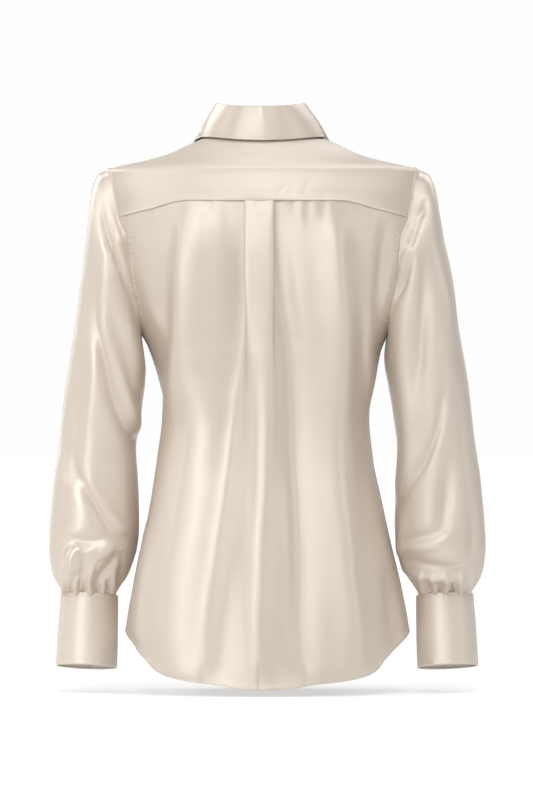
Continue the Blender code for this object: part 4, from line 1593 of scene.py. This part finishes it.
    def yoke(self) -> Panel:
        """Yoke over both shoulders, lapping over the back, the fronts and the sleeves.

        Returns:
            The panel, wearer's left front first.
        """
        arm = np.linspace(YOKE_END, YOKE_CORNER, YOKE_COLUMNS)
        middle = np.linspace(YOKE_CORNER, -YOKE_CORNER, YOKE_COLUMNS)[1:-1]
        place_at = np.concatenate([arm, middle, -arm[::-1]])[None, :]
        side, k = np.where(place_at >= 0, 1, -1), np.abs(place_at)
        neck_phi, edge_phi, edge_z = columns_at(YOKE, k, "neck_phi", "edge_phi", "edge_z").values()
        over = edge_z + 1.4 * ease(k - YOKE_END + 1)
        arm_phi = np.where(k <= YOKE_TIP, TORSO.arm_back(over), TORSO.arm_front(over))
        edge_z = np.where(k <= YOKE_CORNER, SEAM_AT(edge_phi) - 0.6, over)
        edge_phi = np.where(k <= YOKE_CORNER, edge_phi, arm_phi)
        r = np.concatenate([np.linspace(0, 0.9, 44), np.linspace(0.9, 1, 16)[1:]])[:, None]
        phi, z = mix(neck_phi, edge_phi, r), mix(NECK_AT(neck_phi), edge_z, r)
        rough = Panel("yoke", TORSO.point(side, phi, z))
        distance = rough.runs(0, True)
        along = rough.runs(1, False)[-1:]
        x = rough.points[..., 0]
        armed = ease((k - YOKE_CORNER + 0.3) / 0.3) * ease((YOKE_END - k) / 0.2)
        turned = 0.7 * (1 - ease(distance / 14)) + 0.5 * (1 - ease((distance - 1.2) / 2.6))
        turned -= 0.4 * rounded(distance, 0.7)
        seam = self.edge_rise(distance) * armed + turned * (1 - armed)
        puckers = self.pucker(distance, along, 31) * armed
        raised = 1.1 * np.exp(-(((x - PLEAT_MIDDLE) / 24) ** 6)) * (1 - ease(distance / 12))
        over_pleat = raised * (z < -50) * (k < 3)
        calm_neck = ease(rough.runs(0, False) / 20)
        tucks = 0.35 * tuck_height(x, z, above=True) * (1 - armed)
        out = TORSO.drape(side, phi, z) * calm_neck + seam + puckers + over_pleat + tucks
        return Panel("yoke_cloth", TORSO.point(side, phi, z, out))

    def front(self, side: Side) -> Panel:
        """Front panel, from its side seam past the centre.

        Args:
            side: Wearer's side.

        Returns:
            The panel.
        """
        t = self.down(self.front_under)
        edge_phi, _, middle = self.front_level(t)
        share = np.linspace(0, 1, self.front_columns)[None, :]
        over = 180 + TORSO.phi_at(np.array(side.value), np.array(self.lap), middle)
        phi = mix(edge_phi, 180.0, share)
        beyond = mix(180.0, over, np.linspace(0, 1, 9)[1:][None, :])
        phi = np.concatenate([phi, beyond], axis=1)
        z = self.front_height(t, phi)
        z[:2] += np.array(self.tucked_rise)[:, None] * (phi[:2] < YOKE[-1].neck_phi)
        z[:2] += np.array(self.neck_rise)[:, None] * (phi[:2] >= YOKE[-1].neck_phi)
        sign = np.full(phi.shape, side.value)
        rough = Panel("front", TORSO.point(sign, phi, z))
        x = np.abs(rough.points[..., 0])
        calm = ease((180 - phi) / 12)
        beneath = np.zeros(phi.shape)
        beneath[:2] = np.array(self.tucked_sink)[:, None]
        lower = self.under * np.where(phi < 180, ease((self.lap + 32 - x) / 14), 1) * (side is Side.LEFT)
        out = calm * TORSO.drape(sign, phi, z) - beneath - lower
        out = out + self.seams_of(rough, (False,), 41 + side.value) + self.hem_rise(rough.runs(0, True))
        out = out - 0.7 * (1 - ease(rough.runs(1, False) / 2.5)) * (z < UNDERARM_Z - 1)
        made = TORSO.point(sign, phi, z, out)
        return Panel(f"front_{side.word}_cloth", made if side is Side.LEFT else made[:, ::-1])

    def front_level(self, t: Array) -> tuple[Array, Array, Array]:
        """Edge angle, edge height and centre height of a front's rows.

        Args:
            t: Share of the way down.

        Returns:
            The three, in that order.
        """
        under, middle_z = self.front_under, -228.0
        high, low = np.clip(t / under, 0, 1), np.clip((t - under) / (1 - under), 0, 1)
        edge = mix(YOKE[-1].edge_z, UNDERARM_Z, 1 - (1 - high) ** 1.5)
        middle = mix(NECK_AT(180), middle_z, high) + (HEM_AT(180) - middle_z) * low
        phi = np.where(t < under, TORSO.arm_front(edge), 90.0)
        return phi, edge + (HEM_AT(90) - UNDERARM_Z) * low, middle

    def front_height(self, t: Array, phi: Array) -> Array:
        """Height on a front's row, along the top edge, then level, then along the hem.

        Args:
            t: Share of the way down.
            phi: Angle of each point.

        Returns:
            Heights.
        """
        edge_phi, edge, middle = self.front_level(t)
        first_phi, first_edge, first_middle = (float(v) for v in self.front_level(np.array(0.0)))
        share = np.clip((180 - phi) / (180 - edge_phi), 0, None)
        bend = share**1.6
        top_phi = np.where(phi < 180, mix(180.0, first_phi, share), phi)
        top = self.front_top(top_phi) - mix(first_middle, first_edge, bend)
        low = HEM_AT(np.minimum(phi, 360 - phi)) - mix(HEM_AT(180), HEM_AT(90), bend)
        return mix(middle, edge, bend) + (1 - ease(t / self.front_under)) * top + hem_share(t) * low

    @staticmethod
    def front_top(phi: Array) -> Array:
        """Height of a front's top edge: the yoke seam, then the neck seam.

        Args:
            phi: Angle from centre back.

        Returns:
            Heights.
        """
        seam = YOKE[-1]
        run = (phi - seam.edge_phi) / (seam.neck_phi - seam.edge_phi)
        rising = mix(seam.edge_z, NECK_AT(seam.neck_phi), run)
        return np.where(phi < seam.neck_phi, rising, NECK_AT(np.minimum(phi, 360 - phi)))

    def button_band(self) -> Panel:
        """Button band on the right front's closing edge.

        Returns:
            The panel.
        """
        t = np.sort(np.concatenate([np.linspace(0, 1, 150), [0.9955, 0.998, 0.9992]]))[:, None]
        middle = self.front_level(t)[2]
        edge = self.band + self.lap - 0.4
        rim = np.array([0, 0.25, 0.7, 1.5])
        x = np.concatenate([rim, np.linspace(2.5, edge - 2.5, 15), edge - rim[::-1]])
        phi = 180 + TORSO.phi_at(np.array(-1), x[None, :] - self.band, middle)
        z = self.front_height(t, phi)
        sign = np.full(phi.shape, -1)
        rough = Panel("band", TORSO.point(sign, phi, z))
        out = self.band_rise + 0.3 + 0 * z
        for end in (False, True):
            distance = rough.runs(1, end)
            out -= 0.6 * rounded(distance, 0.8)
            out -= 0.22 * groove(distance, self.band_stitch, 0.8)
        out += 0.12 * np.sin(z / 2.4) * groove(rough.runs(1, False), self.band_stitch, 2.4)
        return Panel("button_band_cloth", TORSO.point(sign, phi, z, out)[:, ::-1])


def yoke_arm(yoke: Panel, end: bool, distance: float) -> tuple[Array, Array]:
    """Stitch line beside one armhole edge of the yoke.

    Args:
        yoke: The yoke.
        end: True for the wearer's right.
        distance: Millimetres in from the edge.

    Returns:
        Points and normals along the line.
    """
    line, normals = yoke.line(0, True, distance)
    columns, count = len(line), YOKE_COLUMNS - 2
    part = slice(columns - count, columns) if end else slice(0, count)
    return line[part], normals[part]


def tuck_height(x: Array, z: Array, above: bool = False) -> Array:
    """Height of the small tucks that hang from the yoke seam, or rise a little above it.

    Args:
        x: X of each point.
        z: Height of each point.
        above: True for the yoke's side of the seam.

    Returns:
        Heights.
    """
    phi = TORSO.phi_at(np.sign(x) + (x == 0), np.abs(x), z)
    below = (SEAM_AT(phi) - z) * (-1 if above else 1)
    total = np.zeros(x.shape)
    for tuck in TUCKS:
        length = 14.0 if above else tuck.length
        fade = np.where(below > -6, 1 - ease(np.abs(below) / length), 0)
        total += tuck.height * fade * np.exp(-(((x - tuck.x) / tuck.width) ** 2))
    return total


@dataclass
class Collar:
    """Collar stand and the leaf that folds over it."""

    thread: bpy.types.Material
    columns: int = 150
    stand_lap: float = 0.06
    leaf_end: float = 0.92
    roll: float = 2.6
    lean: float = 4.0
    swell: float = 2.5
    wall: float = 1.1
    gap: float = 0.15
    leaf_thick: float = 1.5
    leaf_lift: float = 1.9
    stitch_in: float = 5.0
    stand_stitch: float = 2.0

    def build(self) -> None:
        """Makes the stand and the leaf."""
        stand, leaf = self.stand(), self.leaf()
        seam = Stitching("stitches_collar")
        seam.run(*leaf.line(0, True, self.stitch_in))
        seam.run(*stand.line(0, True, self.stand_stitch))
        sewn = seam.build(self.thread)
        below = Piece(stand, Satin("silk_stand"), (0.43, 0.036), held=Held.FOLDED, rests_on=("yoke_cloth",))
        below.dress()
        above = Piece(leaf, Satin("silk_leaf"), (0.46, 0.07), 0.024, Held.FOLDED, ("collar_stand_cloth",))
        above.dress()

    def axes(self, at: Array, side: Array) -> tuple[Array, Array, Array, Array]:
        """Neck seam, top of the stand, and the directions out from it and up it.

        Args:
            at: Places along the collar.
            side: 1 or -1 for each.

        Returns:
            Foot, top, outward and upward vectors.
        """
        foot, top = self.neck_line(at, side)
        up = unit(top - foot)
        step = 0.01
        before = np.where(at > step, side, -side)
        along = self.neck_line(at + step, side)[1] - self.neck_line(np.abs(at - step), before)[1]
        return foot, top, unit(np.cross(up, along)) * side[..., None], up

    def neck_line(self, at: Array, side: Array) -> tuple[Array, Array]:
        """Foot and top of the stand at places along it, going on round past the centre.

        Args:
            at: Places along the collar.
            side: 1 or -1 for each.

        Returns:
            Foot and top points.
        """
        side = np.where(at > 1, -side, side)
        at = np.where(at > 1, 2 - at, at)
        track = columns_at(COLLAR, at, "phi", "top_x", "top_y", "top_z")
        lean = self.lean * (1 - ease((at - 0.42) / 0.12))
        top = np.stack([side * track["top_x"] + lean, track["top_y"], track["top_z"]], axis=-1)
        return TORSO.point(side, track["phi"], NECK_AT(track["phi"])), top

    def stand(self) -> Panel:
        """Collar stand; past the centre its right end lies over its left one.

        Returns:
            The panel, wearer's left end first.
        """
        reach = 1 + self.stand_lap
        place_at = np.linspace(reach, -reach, self.columns)
        side, at = np.where(place_at >= 0, 1, -1), np.abs(place_at)
        foot, top, out, _ = self.axes(at, side)
        under = 1.7 * ease((at - 0.84) / 0.09) * (side > 0)
        rows = []
        for rise in (1.0, 0.985, 0.95, 0.9, 0.8, 0.66, 0.5, 0.33, 0.2, 0.1, 0.05, 0.02, -0.04):
            round_top = 0.45 * max(0.0, (rise - 0.97) / 0.03)
            sink = (under + self.gap + round_top + 0.5 * (rise < 0))[:, None]
            rows.append(mix(foot, top, rise) - out * sink)
        return Panel("collar_stand_cloth", np.stack(rows))

    def leaf(self) -> Panel:
        """Collar leaf: up from the stand, over the roll and down to its free edge.

        Returns:
            The panel, wearer's left end first.
        """
        place_at = np.linspace(self.leaf_end, -self.leaf_end, self.columns)
        side, at = np.where(place_at >= 0, 1, -1), np.abs(place_at)
        _, top, out, up = self.axes(at, side)
        start = top + up * self.leaf_lift - out * (self.wall + self.gap)
        centre = start + out * self.roll
        rows = []
        for turn in np.radians([-50, -20, 0, 20, 40, 60, 80, 100, 120, 140, 155]):
            rows.append(centre - out * self.roll * math.cos(turn) + up * self.roll * math.sin(turn))
        rolled = rows[-1]
        fall = self.leaf_edge(at, side) - rolled
        shares = np.concatenate([np.linspace(0, 0.9, 19)[1:], [0.93, 0.955, 0.975, 0.988, 0.996, 1.0]])
        wrinkle = self.wrinkle(place_at)
        for f in shares:
            swell = self.swell * math.sin(math.pi * f) - 0.35 * max(0.0, (f - 0.975) / 0.025) ** 2
            rows.append(rolled + fall * f + out * (swell + wrinkle * f * (1.3 - f))[:, None])
        return Panel("collar_leaf_cloth", np.stack(rows), thick=self.leaf_thick)

    @staticmethod
    def wrinkle(place_at: Array) -> Array:
        """Height of the slow unevenness of the leaf at signed places along the collar."""
        return 0.8 * np.sin(place_at * 9.0 + 0.6) + 0.45 * np.sin(place_at * 21.0 + 2.0)

    def leaf_edge(self, at: Array, side: Array) -> Array:
        """Free edge of the leaf, lying a little off the body.

        Args:
            at: Places along the collar.
            side: 1 or -1 for each.

        Returns:
            Points.
        """
        track = columns_at(COLLAR, at, "edge_x", "edge_z", "edge_out")
        x = track["edge_x"] * (1 + 0.035 * side)
        x = np.minimum(x, 0.9998 * TORSO.half(side, track["edge_z"]))
        phi = TORSO.phi_at(side, x, track["edge_z"])
        return TORSO.point(side, np.where(at < 0.42, phi, 180 - phi), track["edge_z"], track["edge_out"])


@dataclass
class Arm:
    """One sleeve with its cuff."""

    side: Side
    thread: bpy.types.Material
    creases: tuple[Crease, ...]
    # painted light: brightness factor on this sleeve's and cuff's base colour
    shade: float = 1.0
    columns: int = 172
    spacing: float = 3.1
    fine: float = 1.4
    gathered: float = 62.0
    shift: float = 8.0
    cuff_radius: tuple[float, float] = (34.9, 37.4)
    cuff_lap: float = 32.0
    lap_at: float = -78.0
    cuff_thick: float = 1.7
    cuff_length: float = 90.4
    lap_under: float = 2.1
    top_stitch: float = 2.0
    edge_stitch: float = 4.0
    tuck_in: float = 4.0
    cap_end: float = 3.2
    round_from: float = 12.0

    def build(self) -> None:
        """Makes the sleeve, the cuff and their stitches."""
        word = self.side.word
        sleeve, cuff = self.sleeve(), self.cuff()
        seam = Stitching(f"stitches_cuff_{word}")
        seam.run(*cuff.line(0, False, self.top_stitch))
        seam.run(*cuff.line(0, True, self.edge_stitch))
        sewn = seam.build(self.thread)
        # painted light: the sleeve and cuff colours carry this side's painted lighter or darker factor
        silk = Satin(f"silk_sleeve_{word}", self.shade, rough=(0.42, 0.48))
        hung_from = ("yoke_cloth", "back_cloth")
        Piece(sleeve, silk, (0.40, 0.56), 0.19, Held.GATHERED, hung_from).dress()
        silk = Satin(f"silk_cuff_{word}", self.shade, grain=0.35)
        Piece(cuff, silk, (0.25, 0.09), None, Held.FOLDED, (f"sleeve_{word}_cloth",)).dress()

    @property
    def flip(self) -> Array:
        """What turns points of the left sleeve into this side's."""
        return np.array([self.side.value, 1, 1])

    @property
    def wider(self) -> Array:
        """How much wider this side hangs than the left."""
        return np.array([self.shift if self.side is Side.RIGHT else 0.0, 0, 0])

    def ring(self, at: Array, angle: Array) -> Array:
        """Points of the plain sleeve, through the four points of each section.

        Args:
            at: Places down the sleeve.
            angle: Angles round it, 0 outward and 90 backward.

        Returns:
            Points of the wearer's left sleeve.
        """
        track = columns_at(SLEEVE, at, *Ring._fields[1:])
        mid_y = (track["back_y"] + track["front_y"]) / 2 * np.clip(at, 0, 1)
        outer = np.stack([track["out_x"], mid_y, track["out_z"]], axis=-1)
        inner = np.stack([track["in_x"], mid_y, track["in_z"]], axis=-1)
        back = np.stack([track["back_x"], track["back_y"], track["back_z"]], axis=-1)
        front = np.stack([track["front_x"], track["front_y"], track["front_z"]], axis=-1)
        turn = np.radians(angle)[..., None]
        middle, oval = (outer + inner + back + front) / 4, (outer + inner - back - front) / 4
        point = middle + (outer - inner) / 2 * np.cos(turn) + (back - front) / 2 * np.sin(turn)
        return point + oval * np.cos(2 * turn)

    def scye(self) -> tuple[Array, Array, Array]:
        """Armhole as a loop from the shoulder over the back.

        Returns:
            Points, directions that lead away from the body along the cloth, and outward directions.
        """
        angle = np.radians(np.arange(0, 181, 2))
        heights = mix(SHOULDER_Z, UNDERARM_Z, (1 - np.cos(angle)) / 2)
        front = heights[-2:0:-1]
        z = np.concatenate([heights, front])
        phi = np.concatenate([TORSO.arm_back(heights), TORSO.arm_front(front)])
        sign = np.full(z.shape, self.side.value)
        points = TORSO.point(sign, phi, z)
        normals = TORSO.point(sign, phi, z, 1.0) - points
        points, normals = np.vstack([points, points[:1]]), np.vstack([normals, normals[:1]])
        lengths = distances(points)
        under = lengths[len(heights) - 1]
        turn = 2 * np.arange(self.columns) / self.columns
        goal = np.where(turn <= 1, turn * under, mix(under, lengths[-1], turn - 1))
        at, out = points_at(goal, lengths, points), unit(points_at(goal, lengths, normals))
        along = unit(np.roll(at, -1, axis=0) - np.roll(at, 1, axis=0))
        across = unit(np.cross(along, out)) * self.side.value
        return at * self.flip, across * self.flip, out * self.flip

    def places(self) -> Array:
        """Places down the sleeve for its rows, closer together above the cuff.

        Returns:
            Places from 0 to the sleeve's end.
        """
        at = np.linspace(0, SLEEVE_END, 100 * SLEEVE_END + 1)
        mid = self.ring(at, np.full(at.shape, 90.0))
        run = distances(mid)
        fine_from = run[-1] - self.gathered
        upper = np.arange(0, fine_from, self.spacing)
        lower = np.arange(fine_from, run[-1], self.fine)
        return np.interp(np.concatenate([upper, lower, run[-1:]]), run, at)

    def sleeve(self) -> Panel:
        """Sleeve from under the armhole's edge down into the cuff.

        Returns:
            The panel, closed round the arm.
        """
        angle = 360 * np.arange(self.columns) / self.columns
        scye, across, outward = self.scye()
        at = self.places()[:, None]
        plain = self.ring(at + 0 * angle, angle + 0 * at)
        start = scye + across * 0.8 - outward * 0.5 - self.ring(0 * angle, angle)
        points = plain + start * (1 - ease(at / self.cap_end))[..., None]
        wrist = self.cuff_point(np.zeros(angle.shape), angle, -1.9) + self.wrist_axis() * 0.3
        points = mix(points, wrist, ease((at - self.round_from) / 2)[..., None])
        points = (points + self.wider * ease((at - 2) / 4)[..., None]) * self.flip
        order = slice(None) if self.side is Side.RIGHT else slice(None, None, -1)
        rough = Panel("sleeve", points[:, order], closed=True)
        out = self.folds(rough.points, np.broadcast_to(angle[order], at.shape[:1] + angle.shape), at)
        points = rough.points + rough.normals() * out[..., None]
        first, last = self.tucked(scye, across, outward), self.inside(angle)
        points = np.concatenate([first[:, order], points, last[:, order]])
        return Panel(f"sleeve_{self.side.word}_cloth", points, closed=True)

    def tucked(self, scye: Array, across: Array, outward: Array) -> Array:
        """First two rows of the sleeve, hidden under the body's edge."""
        rows = [scye - across * run - outward * sink for run, sink in ((self.tuck_in, 1.9), (1.4, 1.6))]
        return np.stack(rows) * self.flip

    def inside(self, angle: Array) -> Array:
        """Last rows of the sleeve, inside the cuff.

        Args:
            angle: Angles round the cuff.

        Returns:
            Two rows of points.
        """
        flat = np.zeros(angle.shape)
        ring = self.cuff_point(flat, angle, -2.1) + self.wider
        rows = [ring - self.wrist_axis() * down for down in (2.5, 6.0)]
        return np.stack(rows) * self.flip

    def folds(self, points: Array, angle: Array, at: Array) -> Array:
        """Height of the sleeve's folds and gathers.

        Args:
            points: Points of the plain sleeve.
            angle: Angle of each point.
            at: Place of each row.

        Returns:
            Heights.
        """
        x, z = points[..., 0], points[..., 2]
        rear = np.sin(np.radians(angle))
        behind = crease_height(self.creases, x, z) * ease((rear + 0.12) / 0.4)
        hidden = HIDDEN_CREASES if self.side is Side.LEFT else mirrored(HIDDEN_CREASES, self.shift)
        ahead = crease_height(hidden, x, z) * ease((-rear + 0.05) / 0.4)
        gathers = np.zeros(x.shape)
        for gather in GATHERS:
            line = gather.angle + gather.drift * (SLEEVE_END - at)
            away = (angle - line + 180) % 360 - 180
            rise = ease((at - gather.start) / 1.4)
            gathers += gather.depth * rise * (0.35 - np.exp(-((away / gather.width) ** 2)))
        gathers *= ease((-rear + 0.3) / 0.4)
        crumple = Crumple(seed=17 + self.side.value, height=0.35)(points)
        return (behind + ahead + crumple) * ease(at / 1.2) + gathers * (1 - ease((at - 13.6) / 0.4))

    def wrist_axis(self) -> Array:
        """Direction up the left cuff."""
        return unit(np.array(CUFF_TOP) - np.array(CUFF_BOTTOM))

    def cuff_point(self, share: Array, angle: Array, out: Array | float) -> Array:
        """Points of the left cuff.

        Args:
            share: From its top (0) to its bottom (1).
            angle: Angle, 0 outward and 90 backward.
            out: Distance outward.

        Returns:
            Points.
        """
        share, angle, out = np.broadcast_arrays(share, angle, out)
        axis = self.wrist_axis()
        back = unit(np.array([0, 1, 0]) - axis * axis[1])
        outer = np.cross(back, axis)
        centre = mix(np.array(CUFF_TOP), np.array(CUFF_BOTTOM), share[..., None])
        turn = np.radians(angle)[..., None]
        radius = (mix(*self.cuff_radius, share) + out)[..., None]
        return centre + (outer * np.cos(turn) + back * np.sin(turn)) * radius

    def cuff(self) -> Panel:
        """Cuff band, whose last stretch lies over its first.

        Returns:
            The panel.
        """
        first = self.lap_at - self.cuff_lap / 2
        angle = np.linspace(first, first + 360 + self.cuff_lap, 190)[None, :]
        ends = np.array([0, 0.003, 0.008, 0.016, 0.024, 0.035, 0.05])
        share = np.concatenate([ends, np.linspace(0.07, 0.93, 30), 1 - ends[::-1]])[:, None]
        down = share * self.cuff_length
        up = self.cuff_length - down
        edge = np.minimum(down, up)
        under = self.lap_under * ease((first + self.cuff_lap + 26 - angle) / 24)
        out = -under - 0.55 * rounded(edge, 0.9)
        out = out - 0.4 * groove(down, self.top_stitch, 0.8) - 0.4 * groove(up, self.edge_stitch, 0.8)
        soft = 0.5 * np.sin(np.radians(angle) * 2 + 1.0) * np.sin(share * math.pi)
        soft = soft + 0.12 * np.sin(angle / 2.6) * (edge < 5)
        points = (self.cuff_point(share, angle, out + soft) + self.wider) * self.flip
        if self.side is Side.LEFT:
            points = points[:, ::-1]
        return Panel(f"cuff_{self.side.word}_cloth", points, thick=self.cuff_thick)


def mirrored(creases: tuple[Crease, ...], shift: float) -> tuple[Crease, ...]:
    """Creases of the left as they are on the wearer's right, which hangs a little wider."""
    return tuple(Crease(tuple((-x - shift, z, h) for x, z, h in c.line), c.right, c.left) for c in creases)


@dataclass
class Buttons:
    """All twelve buttons, each a rimmed disc with four holes and a cross of thread."""

    thread: bpy.types.Material
    thick: float = 2.2
    hole: float = 0.62
    hole_at: float = 1.15
    sides: int = 40
    profile: tuple[tuple[float, float], ...] = (
        (0.0, 0.0), (3.6, 0.0), (4.8, 0.25), (5.3, 0.7), (5.5, 1.25), (5.35, 1.8),
        (5.0, 2.12), (4.55, 2.2), (4.1, 2.1), (3.6, 1.75), (3.0, 1.5), (0.0, 1.42),
    )

    def build(self, frame: dict) -> None:
        """Puts a finished button in place of each of the model's.
        """
        mesh = self.shape()
        threads = Stitching("button_threads", radius=0.22)
        mesh.materials.append(Pearl().material())
        for name in sorted(n for n in frame["nodes"] if n.startswith("button_") and n != "button_band"):
            node = frame["nodes"][name]
            corners = np.array([node.matrix_world @ v.co for v in node.data.vertices]) / MM
            centre, outward = self.seat(corners)
            obj = linked(f"{name}_dressed", mesh)
            turn = Vector(outward).to_track_quat("Z", "Y").to_matrix().to_4x4()
            turn.translation = Vector(centre - outward * self.thick / 2) * MM
            obj.matrix_world = turn
            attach(obj, BODY_NAME)
            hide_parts(name)
            self.sew(threads, turn)
            LOG.info("%s is in place", obj.name)
        threads.build(self.thread)

    @staticmethod
    def seat(corners: Array) -> tuple[Array, Array]:
        """Middle of a button's solid and the direction it faces.

        Args:
            corners: Its corners, in millimetres.

        Returns:
            Middle and outward direction.
        """
        low, high = corners.min(axis=0), corners.max(axis=0)
        centre = (low + high) / 2
        _, _, axes = np.linalg.svd(corners - corners.mean(axis=0), full_matrices=False)
        outward = axes[2]
        return centre, outward if outward[1] < 0 else -outward

    def sew(self, threads: Stitching, turn: Matrix) -> None:
        """Crosses the thread over a button's holes.

        Args:
            threads: Where the stitches are gathered.
            turn: The button's place.
        """
        up = np.array(turn.to_3x3() @ Vector((0, 0, 1)))
        for x, y in ((1, 1), (1, -1)):
            ends = []
            for sign in (1, -1):
                local = Vector((x * sign * self.hole_at, y * sign * self.hole_at, self.thick - 0.62)) * MM
                ends.append(np.array(turn @ local) / MM)
            threads.stitch(ends[0], ends[1], up)

    def shape(self) -> bpy.types.Mesh:
        """Turned disc with a rim, a dish and four real holes.

        Returns:
            Mesh in metres, standing on its own XY plane.
        """
        points = [(0.0, 0.0, self.profile[0][1])]
        for radius, z in self.profile[1:-1]:
            points += [(radius * x, radius * y, z) for x, y in circle(self.sides)]
        points.append((0.0, 0.0, self.profile[-1][1]))
        faces, rings = [], len(self.profile) - 2
        for k in range(self.sides):
            after = (k + 1) % self.sides
            faces.append((0, 1 + after, 1 + k))
            for ring in range(rings - 1):
                a, b = 1 + ring * self.sides + k, 1 + ring * self.sides + after
                faces.append((a, b, b + self.sides, a + self.sides))
            last = 1 + (rings - 1) * self.sides
            faces.append((len(points) - 1, last + k, last + after))
        disc = self.scratch("disc", points, faces)
        drill = self.scratch("drill", *self.drills())
        cut = disc.modifiers.new("holes", "BOOLEAN")
        cut.object, cut.operation = drill, "DIFFERENCE"
        made = bpy.data.meshes.new_from_object(disc.evaluated_get(bpy.context.evaluated_depsgraph_get()))
        for helper in (disc, drill):
            bpy.data.objects.remove(helper, do_unlink=True)
        made.name = "button_shape"
        made.shade_smooth()
        made.set_sharp_from_angle(angle=math.radians(40))
        return made

    def drills(self) -> tuple[list, list]:
        """Four round drills through the disc.

        Returns:
            Points and faces.
        """
        points, faces, around = [], [], 12
        for x, y in ((1, 1), (1, -1), (-1, 1), (-1, -1)):
            first = len(points)
            for z in (-1.0, 4.0):
                for a, b in circle(around):
                    points.append((x * self.hole_at + self.hole * a, y * self.hole_at + self.hole * b, z))
            faces.append(tuple(first + k for k in reversed(range(around))))
            faces.append(tuple(first + around + k for k in range(around)))
            for k in range(around):
                after = (k + 1) % around
                faces.append((first + k, first + after, first + around + after, first + around + k))
        return points, faces

    @staticmethod
    def scratch(name: str, points: list, faces: list) -> bpy.types.Object:
        """Helper object that is removed again.

        Args:
            name: Its name.
            points: Points in millimetres.
            faces: Its faces.

        Returns:
            The object.
        """
        mesh = bpy.data.meshes.new(name)
        mesh.from_pydata((np.array(points) * MM).tolist(), [], faces)
        obj = linked(name, mesh)
        bpy.context.view_layer.update()
        return obj


@dataclass(frozen=True)
class Sun:
    """Broad, even light from one direction."""

    name: str
    azimuth: float
    elevation: float
    strength: float
    softness: float
    colour: tuple[float, float, float] = (1.0, 1.0, 1.0)

    def build(self) -> None:
        """Adds the light; its azimuth is measured from the camera's side toward the wearer's left."""
        data = bpy.data.lights.new(self.name, "SUN")
        data.energy, data.angle, data.color = self.strength, math.radians(self.softness), self.colour
        turn, rise = math.radians(self.azimuth), math.radians(self.elevation)
        toward = Vector((math.sin(turn) * math.cos(rise), math.cos(turn) * math.cos(rise), math.sin(rise)))
        obj = linked(self.name, data)
        obj.location = toward * 5
        obj.rotation_euler = toward.to_track_quat("Z", "Y").to_euler()


@dataclass
class Studio:
    """Pale floor, plain soft light and the camera behind the wearer."""

    floor_z: float = -0.693
    camera_at: tuple[float, float, float] = (VIEW.aim_x * MM, VIEW.reach * MM, VIEW.aim_z * MM)
    seen_height: float = VIEW.rows * VIEW.scale * MM
    world: float = 0.29
    floor_shade: float = 0.44
    floor_glow: float = 0.57
    lights: tuple[Sun, ...] = (
        Sun("key_low", 34.0, 4.0, 0.42, 24.0),
        Sun("key_middle", 26.0, 22.0, 0.56, 24.0),
        Sun("key_high", 6.0, 48.0, 0.86, 26.0),
        Sun("left_light", 78.0, 34.0, 0.54, 30.0),
        Sun("right_light", -62.0, 34.0, 0.46, 34.0),
        Sun("top_light", -16.0, 74.0, 0.54, 30.0),
        Sun("far_left", 132.0, 30.0, 1.1, 30.0),
        Sun("far_right", -140.0, 40.0, 0.75, 34.0),
    )

    def build(self) -> None:
        """Makes the whole studio."""
        for light in self.lights:
            light.build()
        self.floor()
        self.sky()
        self.camera()

    def camera(self) -> None:
        """Level camera that takes in the blouse from behind."""
        data = bpy.data.cameras.new("camera")
        data.sensor_fit, data.sensor_height = "VERTICAL", 24.0
        data.lens = data.sensor_height * self.camera_at[1] / self.seen_height
        obj = linked("camera", data)
        obj.location = self.camera_at
        obj.rotation_euler = (math.pi / 2, 0, math.pi)
        bpy.context.scene.camera = obj

    def floor(self) -> None:
        """Wide pale floor just under the hem."""
        reach = 30.0
        mesh = bpy.data.meshes.new("floor")
        corners = [(-reach, -reach), (reach, -reach), (reach, reach), (-reach, reach)]
        mesh.from_pydata([(x, y, self.floor_z) for x, y in corners], [], [(0, 1, 2, 3)])
        nodes = Nodes("pale_floor")
        nodes.give(Base_Color=(self.floor_shade,) * 3 + (1,), Roughness=1.0, Specular_IOR_Level=0.0)
        nodes.give(Emission_Color=(1, 1, 1, 1), Emission_Strength=self.floor_glow)
        mesh.materials.append(nodes.made)
        obj = linked("floor", mesh)

    def sky(self) -> None:
        """Even white surroundings, dimmer as a light than as a backdrop."""
        world = bpy.data.worlds.new("white_room")
        world.use_nodes = True
        bpy.context.scene.world = world
        tree = world.node_tree
        light = tree.nodes["Background"]
        light.inputs["Color"].default_value = (1, 1, 1, 1)
        light.inputs["Strength"].default_value = self.world
        seen = tree.nodes.new("ShaderNodeBackground")
        seen.inputs["Color"].default_value = (0.99, 0.99, 0.99, 1)
        path = tree.nodes.new("ShaderNodeLightPath")
        choose = tree.nodes.new("ShaderNodeMixShader")
        tree.links.new(choose.inputs[0], path.outputs["Is Camera Ray"])
        tree.links.new(choose.inputs[1], light.outputs[0])
        tree.links.new(choose.inputs[2], seen.outputs[0])
        tree.links.new(tree.nodes["World Output"].inputs["Surface"], choose.outputs[0])
        bpy.context.scene.view_settings.view_transform = "Standard"


def main() -> None:
    """Loads the frame, dresses every piece and sets the studio."""
    logging.basicConfig(level=logging.INFO, format="%(name)s: %(message)s")
    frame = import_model()
    thread = Thread().material()
    LOG.info("bodice")
    Bodice(thread).build()
    LOG.info("collar")
    Collar(thread).build()
    # painted light: the left sleeve and cuff get a painted highlight (base colour times 1.08), the right
    # ones painted shade (times 0.98)
    for side, creases, shade in ((Side.LEFT, LEFT_CREASES, 1.08), (Side.RIGHT, RIGHT_CREASES, 0.98)):
        LOG.info("%s sleeve", side.word)
        Arm(side, thread, creases, shade).build()
    LOG.info("buttons")
    Buttons(thread).build(frame)
    Studio().build()
    bpy.context.view_layer.update()


if __name__ == "__main__":
    main()
